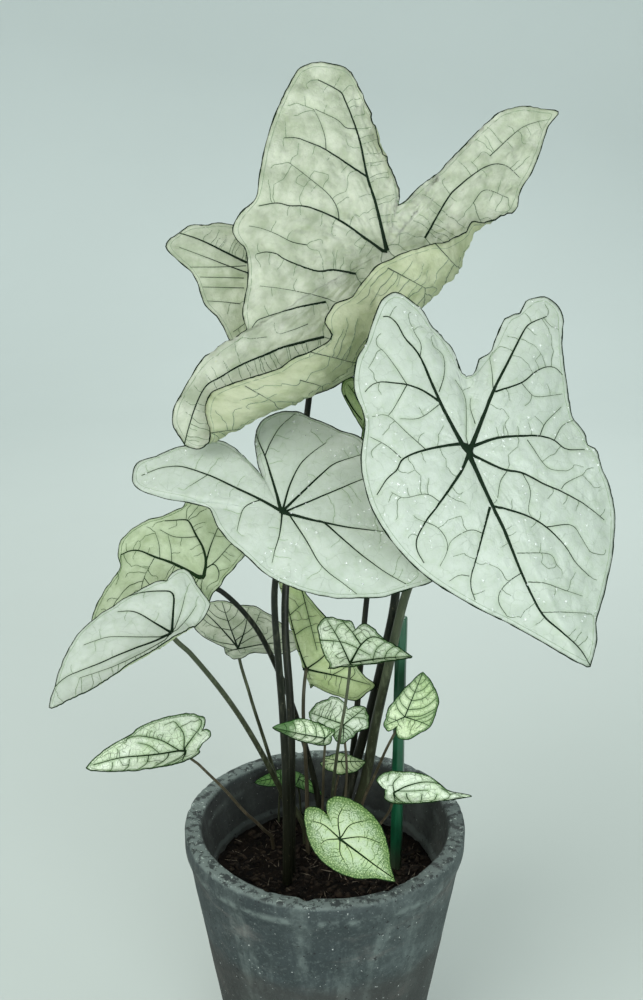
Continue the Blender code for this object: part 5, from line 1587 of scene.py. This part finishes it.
def make_pot(look):
    """Round pot with a collar under its rim, its edges chipped and worn."""
    shoulder = POT_HEIGHT - COLLAR_DEPTH - COLLAR_SLOPE
    rows = [(0.0, 0.0), (BASE_RADIUS, 0.0), (RIM_RADIUS - COLLAR_STEP, shoulder),
            (RIM_RADIUS, shoulder + COLLAR_SLOPE), (RIM_RADIUS, POT_HEIGHT),
            (RIM_RADIUS - RIM_WALL, POT_HEIGHT), (inner_radius(SOIL_TOP), SOIL_TOP),
            (INNER_BASE_RADIUS, FLOOR), (0.0, FLOOR)]
    rounds, rings = [BASE_CHAMFER, 0.006, 0.003, 0.0035, 0.0035, 0.002, 0.004, 0.002], []
    for radius, height in fine_profile(rows, POT_STEP, rounds):
        ring = []
        for a in around(POT_SIDES) if radius > 0 else [0.0]:
            dr, dz = pot_shift(radius, height, a) if radius > 0 else (0.0, 0.0)
            ring.append(((radius + dr) * math.cos(a), (radius + dr) * math.sin(a), height + dz))
        rings.append(ring)
    new_object("pot_body", ringed("pot_body", rings), "pot", [look], "pot")


def soil_height(x, y):
    """Uneven soil top, a little higher at the middle of the plant."""
    broad = 0.5 * math.sin(60 * x + 1.0) + 0.5 * math.cos(48 * y - 40 * x)
    return SOIL_TOP + SOIL_BUMP * broad + grain(Vector((x, y, 0.0)), SOIL_GRAIN)


def make_soil_bed(look):
    """Soil body that fills the pot, with a crumbly top."""
    edge, low = inner_radius(SOIL_TOP) - GAP, FLOOR + GAP
    rows = [(inner_radius(low) - GAP, low), (edge, SOIL_TOP - 0.003)]
    rows += [(edge * (1 - k / SOIL_RINGS), None) for k in range(SOIL_RINGS)]
    rings = [[(0.0, 0.0, low)]]
    for radius, height in rows:
        spots = [(radius * math.cos(a), radius * math.sin(a)) for a in around(SOIL_SIDES)]
        rings.append([(x, y, soil_height(x, y) if height is None else height) for x, y in spots])
    rings.append([(0.0, 0.0, soil_height(0.0, 0.0))])
    return new_object("soil_bed", ringed("soil_bed", rings), "soil", [look], "soil")


def scatter_tree(name):
    """Geometry Nodes: uneven bits of one kind scattered over a surface, turned and sized at random."""
    nodes, given, made = new_tree(
        name, "GeometryNodeTree",
        [("Geometry", "Geometry"), ("Density", "Float", 1000.0), ("Closest", "Float", 0.001),
         ("Seed", "Int", 1), ("Long", "Float", 0.004), ("Wide", "Float", 0.001), ("Flat", "Float", 0.001),
         ("Lie", "Float", 0.3), ("Look", "Material")], [("Geometry", "Geometry")])
    seed = given["Seed"]
    factor = nodes.add("GeometryNodeInputNamedAttribute", {"Name": "scatter"}, data_type="FLOAT").outputs[0]
    spots = nodes.add("GeometryNodeDistributePointsOnFaces", {
        "Mesh": given["Geometry"], "Distance Min": given["Closest"], "Density Max": given["Density"],
        "Density Factor": factor, "Seed": seed}, distribute_method="POISSON").outputs
    bit = nodes.add("GeometryNodeMeshIcoSphere", {"Radius": 1.0, "Subdivisions": 2}).outputs[0]
    turn = nodes.add("FunctionNodeRandomValue", {0: (-0.6, -0.6, -3.2), 1: (0.6, 0.6, 3.2), "Seed": seed},
                     data_type="FLOAT_VECTOR").outputs[0]
    lie = nodes.add("ShaderNodeCombineXYZ", {0: given["Lie"], 1: given["Lie"], 2: 1.0}).outputs[0]
    rotated = nodes.add("FunctionNodeRotateRotation", {
        0: spots["Rotation"], 1: nodes.vector("MULTIPLY", turn, lie)}, rotation_space="LOCAL").outputs[0]
    size = nodes.add("FunctionNodeRandomValue", {2: 0.45, 3: 1.35, "Seed": seed}, data_type="FLOAT")
    shape = nodes.add("ShaderNodeCombineXYZ", {0: given["Long"], 1: given["Wide"], 2: given["Flat"]})
    copies = nodes.add("GeometryNodeInstanceOnPoints", {
        "Points": spots["Points"], "Instance": bit, "Rotation": rotated,
        "Scale": nodes.vector("SCALE", shape.outputs[0], Scale=size.outputs[1])}).outputs[0]
    whole = nodes.add("GeometryNodeRealizeInstances", {"Geometry": copies}).outputs[0]
    rough = nodes.add("ShaderNodeTexNoise", {
        "Vector": nodes.add("GeometryNodeInputPosition").outputs[0], "Scale": 420.0, "Detail": 2.0})
    even = nodes.vector("SUBTRACT", rough.outputs[1], (0.5, 0.5, 0.5))
    bent = nodes.add("GeometryNodeSetPosition", {
        "Geometry": whole, "Offset": nodes.vector("SCALE", even, Scale=nodes.times(given["Wide"], 1.1))})
    smooth = nodes.add("GeometryNodeSetShadeSmooth", {"Geometry": bent.outputs[0]}).outputs[0]
    finish_tree(nodes, given, made, smooth)
    return nodes.tree


def scattered(name, tree, mesh, share, slot, look, **values):
    """A piece made of bits scattered over a mesh; share gives how thickly at each of its points."""
    set_values(mesh, "scatter", share)
    new_object(name, baked(mesh, tree, name, {**values, "Look": look}), slot, [look])


def make_stake(look):
    """Six-sided coated stake with softened edges and a domed top."""
    foot = SOIL_TOP - STAKE_DEPTH
    rows = [(0.0, foot), (STAKE_RADIUS / 2, foot), (STAKE_RADIUS, foot + 0.010),
            (STAKE_RADIUS, STAKE_TOP), (0.0, STAKE_TOP)]
    (x0, y0), sector = STAKE_PLACE, 2 * math.pi / STAKE_SIDES
    rings = []
    for radius, height in fine_profile(rows, STAKE_STEP, [0.001, 0.002, 0.002]):
        sway = 0.00015 * math.sin(height * 90)
        ring = []
        for a in around(STAKE_POINTS) if radius > 0 else [0.0]:
            flat = math.cos(sector / 2) / math.cos((a % sector) - sector / 2)
            r, b = radius * min(flat, STAKE_EDGE_SHARE) + sway, a + math.radians(STAKE_TURN)
            ring.append((x0 + r * math.cos(b), y0 + r * math.sin(b), height))
        rings.append(ring)
    new_object("stake_pole", ringed("stake_pole", rings), "stake", [look], "stake")


def make_drops(leaf, tree, look, settings):
    """Water drops on the upper side of a leaf, thickest on one part of it."""
    sheet = sheet_of(leaf)
    points = (sheet.points + sheet.normals() * settings.drop_lift)[1:]
    count = sheet.sectors
    faces = [(low + k, low + count + k, low + count + (k + 1) % count, low + (k + 1) % count)
             for low in range(0, (sheet.rings - 1) * count, count) for k in range(count)]
    share = []
    for x, y in sheet.flat[1:].reshape(-1, 2):
        cluster = max(0.0, noise.noise(Vector((x / 34, y / 34, 3.0))) + 0.12) * 1.8
        share.append(min(1.0, cluster) if math.hypot(x, y) > 8 else 0.0)
    size = settings.drop_size
    scattered("drops_" + leaf.name, tree, mesh_of("drop_ground", points.reshape(-1, 3), faces), share,
              leaf.colour, look, Density=settings.drop_density, Closest=0.004, Seed=7, Long=size,
              Wide=size * 0.9, Flat=size * 0.55, Lie=0.0)


def make_stage(settings):
    """Pale seamless floor and back wall, camera of the photograph, soft studio lights."""
    scene = bpy.context.scene

    def add(name, data, place=(0.0, 0.0, 0.0), turn=(0.0, 0.0, 0.0)):
        item = bpy.data.objects.new(name, data)
        item.location, item.rotation_euler = place, turn
        scene.collection.objects.link(item)
        return item

    wide, front, back, bend, high = 9.0, -5.0, 4.2, 2.0, 7.0
    rows = [(front, 0.0)] + [(back - bend + bend * math.sin(t), bend - bend * math.cos(t))
                             for t in np.linspace(0, math.pi / 2, 13)] + [(back, high)]
    points = [(x, y, z) for y, z in rows for x in (-wide, wide)]
    faces = [(2 * k, 2 * k + 1, 2 * k + 3, 2 * k + 2) for k in range(len(rows) - 1)]
    ground = mesh_of("floor", points, faces)
    ground.materials.append(floor_look(settings.floor, settings.floor_far))
    ground.shade_smooth()
    add("floor", ground)
    for name, place, aim, size, tint in (
            ("key", (-1.6, -1.7, 2.1), 0.55, 2.4, (1.0, 0.99, 0.96)),
            ("fill", (0.9, -2.3, 0.85), 0.35, 1.6, (0.93, 0.98, 1.0)),
            ("low", (0.5, -1.9, 0.2), 0.7, 1.2, (1.0, 1.0, 0.95)),
            ("back", (0.5, 1.6, 2.5), 0.6, 1.6, (1.0, 1.0, 0.97))):
        lamp = bpy.data.lights.new(name, "AREA")
        lamp.shape, lamp.size, lamp.energy, lamp.color = "DISK", size, getattr(settings, name), tint
        way = Vector((0.0, 0.0, aim)) - Vector(place)
        add(name, lamp, place, way.to_track_quat("-Z", "Y").to_euler())
    scene.view_settings.view_transform = "Standard"
    scene.world = bpy.data.worlds.new("studio")
    scene.world.use_nodes = True
    air = scene.world.node_tree
    Nodes(air).fill(air.nodes["Background"], {0: settings.air, 1: settings.air_strength})
    camera = bpy.data.cameras.new("photo_camera")
    camera.sensor_fit, camera.sensor_height = "VERTICAL", SENSOR_MM
    camera.lens = FOCAL_PX * SENSOR_MM / PHOTO_HEIGHT_PX
    scene.camera = add("photo_camera", camera, CAMERA_PLACE, (math.radians(90 - CAMERA_PITCH), 0.0, 0.0))


def colour_property(name, description, default):
    return bpy.props.FloatVectorProperty(name=name, description=description, default=(*default, 1.0),
                                         size=4, min=0.0, max=1.0, subtype="COLOR")


def length_property(name, description, default):
    return bpy.props.FloatProperty(name=name, description=description, default=default, min=0.0,
                                   precision=4, subtype="DISTANCE", unit="LENGTH")


def plain_property(name, description, default, **settings):
    return bpy.props.FloatProperty(name=name, description=description, default=default, min=0.0, **settings)


def power_property(name, description, default):
    return plain_property(name, description, default, unit="POWER")


class CaladiumLeafSettings(bpy.types.PropertyGroup):
    """Sizes and colours of the leaves, their ribs and their stalks."""
    mesh_step: length_property("Mesh Step", "Spacing of the points on a big blade", 0.0034)
    blade_thickness: length_property("Blade Thickness", "Thickness of the blade between its ribs", 0.0005)
    quilt_depth: length_property("Quilt Depth", "Rise of the blade between its main ribs", 0.0014)
    rib_width: plain_property("Rib Width", "Scale of the width of every rib", 1.0, max=3.0)
    pale: colour_property("Pale Ground", "Whitest part of the big blades", (0.475, 0.535, 0.495))
    cast: colour_property("Green Cast", "Greener patches of the big blades", (0.405, 0.465, 0.415))
    rib_dark: colour_property("Rib", "Thick ribs", (0.004, 0.011, 0.006))
    rib_light: colour_property("Fine Rib", "Thin ribs", (0.23, 0.31, 0.20))


class CaladiumPotSettings(bpy.types.PropertyGroup):
    """Colours of the weathered pot."""
    dark: colour_property("Dark Body", "Darkest part of the pot", (0.022, 0.031, 0.032))
    middle: colour_property("Worn Body", "Paler patches of the pot", (0.043, 0.057, 0.058))
    # This pale colour is also laid as painted light on the body's +X side and on the rim top's -X side.
    bloom_and_painted_light: colour_property("Mineral Bloom", "Pale bloom on rim, collar and streaks", (0.115, 0.145, 0.135))


class CaladiumSoilSettings(bpy.types.PropertyGroup):
    """Bark and fibres on the soil."""
    chip_density: plain_property("Bark Bits", "Bark bits a square metre", 14000.0)
    chip_length: length_property("Bark Length", "Half length of a usual bark bit", 0.0042)
    fibre_density: plain_property("Fibres", "Root fibres a square metre", 9000.0)


class CaladiumDropSettings(bpy.types.PropertyGroup):
    """Water drops on the wet leaves."""
    drop_density: plain_property("Drops", "Most drops a square metre", 26000.0)
    drop_size: length_property("Drop Size", "Usual radius of a drop", 0.0009)
    drop_lift: length_property("Drop Lift", "Height of a drop's middle over the blade's middle", 0.0003)


class CaladiumStageSettings(bpy.types.PropertyGroup):
    """Studio floor, light and air."""
    floor: colour_property("Floor", "Floor near the pot", (0.36, 0.405, 0.385))
    floor_far: colour_property("Back Wall", "Back wall behind the plant", (0.60, 0.675, 0.66))
    air: colour_property("Air", "Light from all round", (0.86, 0.93, 0.92))
    air_strength: plain_property("Air Strength", "Strength of the light all round", 0.68)
    key: power_property("Key Light", "Power of the light from upper left", 74.0)
    fill: power_property("Fill Light", "Power of the light from the right", 46.0)
    low: power_property("Low Light", "Power of the light under the leaves", 6.0)
    back: power_property("Back Light", "Power of the light behind the leaves", 44.0)


# Kinds of blade colouring, its upper side first: pale and greener ground, light through it, cast of the
# veins, strength of that cast by the ribs and at the margin, the margin's width, the flecks' depth
# from the margin, strength of the fine net, and then what differs from leaf_look's usual values
GREY, LEAFY, DEEP = (0.30, 0.40, 0.25), (0.12, 0.25, 0.07), (0.05, 0.14, 0.03)
WARM, LIME = (0.60, 0.68, 0.40), (0.42, 0.62, 0.18)
LEAF_LOOKS = {
    "white": (("pale", "cast", WARM, GREY, 0.25, 0.20, 3.0, 0, 0.30, {}),
              ((0.52, 0.59, 0.39), (0.44, 0.52, 0.29), WARM, GREY, 0.25, 0.20, 3.0, 0, 0.12, {})),
    "cream": (((0.61, 0.645, 0.585), (0.32, 0.365, 0.29), WARM, GREY, 0.22, 0.20, 3.0, 0, 0.16,
               {"relief": 0.60, "through": 0.50}),
              ((0.65, 0.69, 0.55), (0.48, 0.54, 0.36), (0.66, 0.72, 0.30), GREY, 0.2, 0.2, 3.0, 0, 0.12,
               {"relief": 0.60, "through": 0.60})),
    "sage": (((0.54, 0.63, 0.47), (0.35, 0.43, 0.27), WARM, GREY, 0.22, 0.30, 3.0, 0, 0.2,
              {"relief": 0.45, "through": 0.45}),
             ((0.60, 0.68, 0.42), (0.46, 0.55, 0.28), WARM, GREY, 0.2, 0.2, 3.0, 0, 0.12,
              {"relief": 0.45, "through": 0.60})),
    "netted": (((0.74, 0.81, 0.72), (0.62, 0.74, 0.54), LIME, LEAFY, 0.42, 0.75, 2.2, 4.0, 0.80,
                {"cell": 0.050, "line": 0.08}),
               ((0.60, 0.70, 0.50), (0.50, 0.62, 0.38), LIME, LEAFY, 0.4, 0.7, 2.2, 4.0, 0.6,
                {"cell": 0.050, "line": 0.10})),
    "lime": (((0.70, 0.80, 0.56), (0.56, 0.71, 0.38), LIME, LEAFY, 0.42, 0.75, 2.4, 5.0, 0.7,
              {"cell": 0.050, "line": 0.09}),
             ((0.46, 0.58, 0.32), (0.38, 0.50, 0.24), LIME, LEAFY, 0.4, 0.7, 2.4, 5.0, 0.5,
              {"cell": 0.050, "line": 0.09})),
    "tipped": (((0.84, 0.90, 0.78), (0.66, 0.80, 0.54), LIME, LEAFY, 0.42, 0.75, 2.2, 6.0, 0.9,
                {"cell": 0.045, "line": 0.12, "tip": 0.30}),
               ((0.42, 0.54, 0.30), (0.30, 0.44, 0.18), LIME, LEAFY, 0.4, 0.7, 2.2, 6.0, 0.6,
                {"cell": 0.045, "line": 0.10, "tip": 0.30})),
    "yellow": (((0.64, 0.72, 0.48), (0.53, 0.62, 0.35), LIME, LEAFY, 0.30, 0.45, 3.0, 3.0, 0.4,
                {"cell": 0.070, "line": 0.05}),
               ((0.62, 0.70, 0.44), (0.52, 0.61, 0.32), LIME, LEAFY, 0.25, 0.4, 3.0, 0, 0.3,
                {"cell": 0.070, "line": 0.05, "through": 0.45})),
    "bright": (((0.50, 0.60, 0.45), (0.38, 0.52, 0.30), LIME, (0.42, 0.58, 0.20), 0.30, 0.90, 8.0, 24.0,
                0.2, {"cell": 0.060, "line": 0.06}),
               ((0.34, 0.48, 0.24), (0.27, 0.41, 0.18), LIME, LEAFY, 0.3, 0.7, 9.0, 14.0, 0.3, {})),
    "young": (((0.13, 0.29, 0.06), (0.07, 0.19, 0.035), LIME, DEEP, 0.5, 0.6, 3.0, 12.0, 0.4, {}),
              ((0.13, 0.24, 0.08), (0.08, 0.17, 0.05), LIME, DEEP, 0.5, 0.5, 3.0, 12.0, 0.4, {})),
}
# Stalk colourings: low down, high up, streaks
STALK_LOOKS = {
    "stalk_dark": ("stalk_black", (0.007, 0.008, 0.004), (0.005, 0.008, 0.005), (0.036, 0.040, 0.026)),
    "stalk_olive": ("stalk_grey", (0.028, 0.032, 0.016), (0.045, 0.058, 0.034), (0.10, 0.12, 0.07)),
    "stalk_brown": ("stalk_tan", (0.050, 0.042, 0.026), (0.060, 0.066, 0.040), (0.13, 0.11, 0.07)),
}
# Soil litter: Geometry Nodes inputs as shares of the panel's bark or fibre density and bark length
LITTER = (
    ("soil_bark", "chip_density", 1.0, 0.003, 3, (1.0, 0.55, 0.32), 0.45),
    ("soil_crumbs", "chip_density", 1.9, 0.0015, 11, (0.42, 0.34, 0.28), 0.8),
    ("soil_fibres", "fibre_density", 1.0, 0.003, 5, (1.9, 0.09, 0.09), 0.35),
)


class CALADIUM_OT_blades(bpy.types.Operator):
    """Make the fine blade of every leaf"""
    bl_idname = "caladium.blades"
    bl_label = "Blades"

    def execute(self, context):
        settings, looks = context.scene.caladium_leaves, {}
        own = {"pale": settings.pale, "cast": settings.cast}
        for kind, sides in LEAF_LOOKS.items():
            looks[kind] = [leaf_look("leaf_" + kind + end, own.get(pale, pale), own.get(green, green),
                                     *values, **special)
                           for end, (pale, green, *values, special) in zip(("", "_under"), sides)]
        for leaf in LEAVES:
            make_blade(leaf, settings, looks[BLADE_FEEL[leaf.name][2]])
        return {"FINISHED"}


class CALADIUM_OT_ribs(bpy.types.Operator):
    """Lay the ribs, the fine ribs and the margin line on every leaf"""
    bl_idname = "caladium.ribs"
    bl_label = "Ribs"

    def execute(self, context):
        settings, tree = context.scene.caladium_leaves, rib_tree()
        dark = rib_look("leaf_rib", settings.rib_dark, settings.rib_light)
        green = rib_look("leaf_rib_green", (0.005, 0.016, 0.005), (0.060, 0.130, 0.035))
        for leaf in LEAVES:
            make_ribs(leaf, tree, settings, dark if BLADE_FEEL[leaf.name][2] in ("white", "cream") else green)
        return {"FINISHED"}


class CALADIUM_OT_stalks(bpy.types.Operator):
    """Make the leaf stalks"""
    bl_idname = "caladium.stalks"
    bl_label = "Stalks"

    def execute(self, context):
        looks = {kind: stalk_look(*values) for kind, values in STALK_LOOKS.items()}
        for leaf in LEAVES:
            make_stalk(leaf, looks[leaf.stalk_colour])
        return {"FINISHED"}


class CALADIUM_OT_stake(bpy.types.Operator):
    """Make the six-sided plant stake"""
    bl_idname = "caladium.stake"
    bl_label = "Stake"

    def execute(self, context):
        make_stake(stake_look())
        return {"FINISHED"}


class CALADIUM_OT_pot(bpy.types.Operator):
    """Make the weathered pot"""
    bl_idname = "caladium.pot"
    bl_label = "Pot"

    def execute(self, context):
        settings = context.scene.caladium_pot
        make_pot(pot_look(settings.dark, settings.middle, settings.bloom_and_painted_light))
        return {"FINISHED"}


class CALADIUM_OT_soil(bpy.types.Operator):
    """Make the soil with its bark bits and fibres"""
    bl_idname = "caladium.soil"
    bl_label = "Soil"

    def execute(self, context):
        settings, bed = context.scene.caladium_soil, make_soil_bed(soil_look())
        edge, tree = inner_radius(SOIL_TOP) - 0.006, scatter_tree("Soil litter")
        share = [1.0 if v.co.z > SOIL_TOP - 0.004 and math.hypot(v.co.x, v.co.y) < edge else 0.0
                 for v in bed.data.vertices]
        bark = litter_look("bark_bits", (0.0022, 0.0018, 0.0014), (0.034, 0.024, 0.016))
        pale = litter_look("root_fibres", (0.020, 0.016, 0.011), (0.20, 0.17, 0.13))
        for name, density, more, closest, seed, sizes, lie in LITTER:
            long, wide, flat = (settings.chip_length * size for size in sizes)
            scattered(name, tree, bed.data.copy(), share, "soil", pale if name == "soil_fibres" else bark,
                      Density=getattr(settings, density) * more, Closest=closest, Seed=seed, Long=long,
                      Wide=wide, Flat=flat, Lie=lie)
        return {"FINISHED"}


class CALADIUM_OT_drops(bpy.types.Operator):
    """Scatter water drops on the wet leaves"""
    bl_idname = "caladium.drops"
    bl_label = "Water Drops"

    def execute(self, context):
        look, tree = drop_look(), scatter_tree("Water drops")
        for leaf in LEAVES:
            if leaf.name in ("right", "middle"):
                make_drops(leaf, tree, look, context.scene.caladium_drops)
        return {"FINISHED"}


class CALADIUM_OT_stage(bpy.types.Operator):
    """Make the studio: floor, back wall, lights and the photograph's camera"""
    bl_idname = "caladium.stage"
    bl_label = "Studio"

    def execute(self, context):
        make_stage(context.scene.caladium_stage)
        return {"FINISHED"}


STEPS = (
    CALADIUM_OT_pot, CALADIUM_OT_soil, CALADIUM_OT_stake, CALADIUM_OT_stalks, CALADIUM_OT_blades,
    CALADIUM_OT_ribs, CALADIUM_OT_drops, CALADIUM_OT_stage,
)
SETTINGS = {
    "caladium_leaves": CaladiumLeafSettings,
    "caladium_pot": CaladiumPotSettings,
    "caladium_soil": CaladiumSoilSettings,
    "caladium_drops": CaladiumDropSettings,
    "caladium_stage": CaladiumStageSettings,
}


class CALADIUM_PT_panel(bpy.types.Panel):
    """Lists the pieces of the plant with their settings"""
    bl_idname = "CALADIUM_PT_panel"
    bl_label = "Potted Caladium"
    bl_space_type = "VIEW_3D"
    bl_region_type = "UI"
    bl_category = "Caladium"

    def draw(self, context):
        layout = self.layout
        for step in STEPS:
            layout.operator(step.bl_idname)
        for name, group in SETTINGS.items():
            box = layout.box()
            settings = getattr(context.scene, name)
            for key in group.__annotations__:
                box.prop(settings, key)


def register():
    for item in (*SETTINGS.values(), *STEPS, CALADIUM_PT_panel):
        bpy.utils.register_class(item)
    for name, group in SETTINGS.items():
        setattr(bpy.types.Scene, name, bpy.props.PointerProperty(type=group))


def unregister():
    for name in SETTINGS:
        delattr(bpy.types.Scene, name)
    for item in (CALADIUM_PT_panel, *reversed(STEPS), *reversed(list(SETTINGS.values()))):
        bpy.utils.unregister_class(item)


def main():
    register()
    bpy.ops.caladium.pot()
    bpy.ops.caladium.soil()
    bpy.ops.caladium.stake()
    bpy.ops.caladium.stalks()
    bpy.ops.caladium.blades()
    bpy.ops.caladium.ribs()
    bpy.ops.caladium.drops()
    bpy.ops.caladium.stage()
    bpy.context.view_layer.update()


if __name__ == "__main__":
    main()
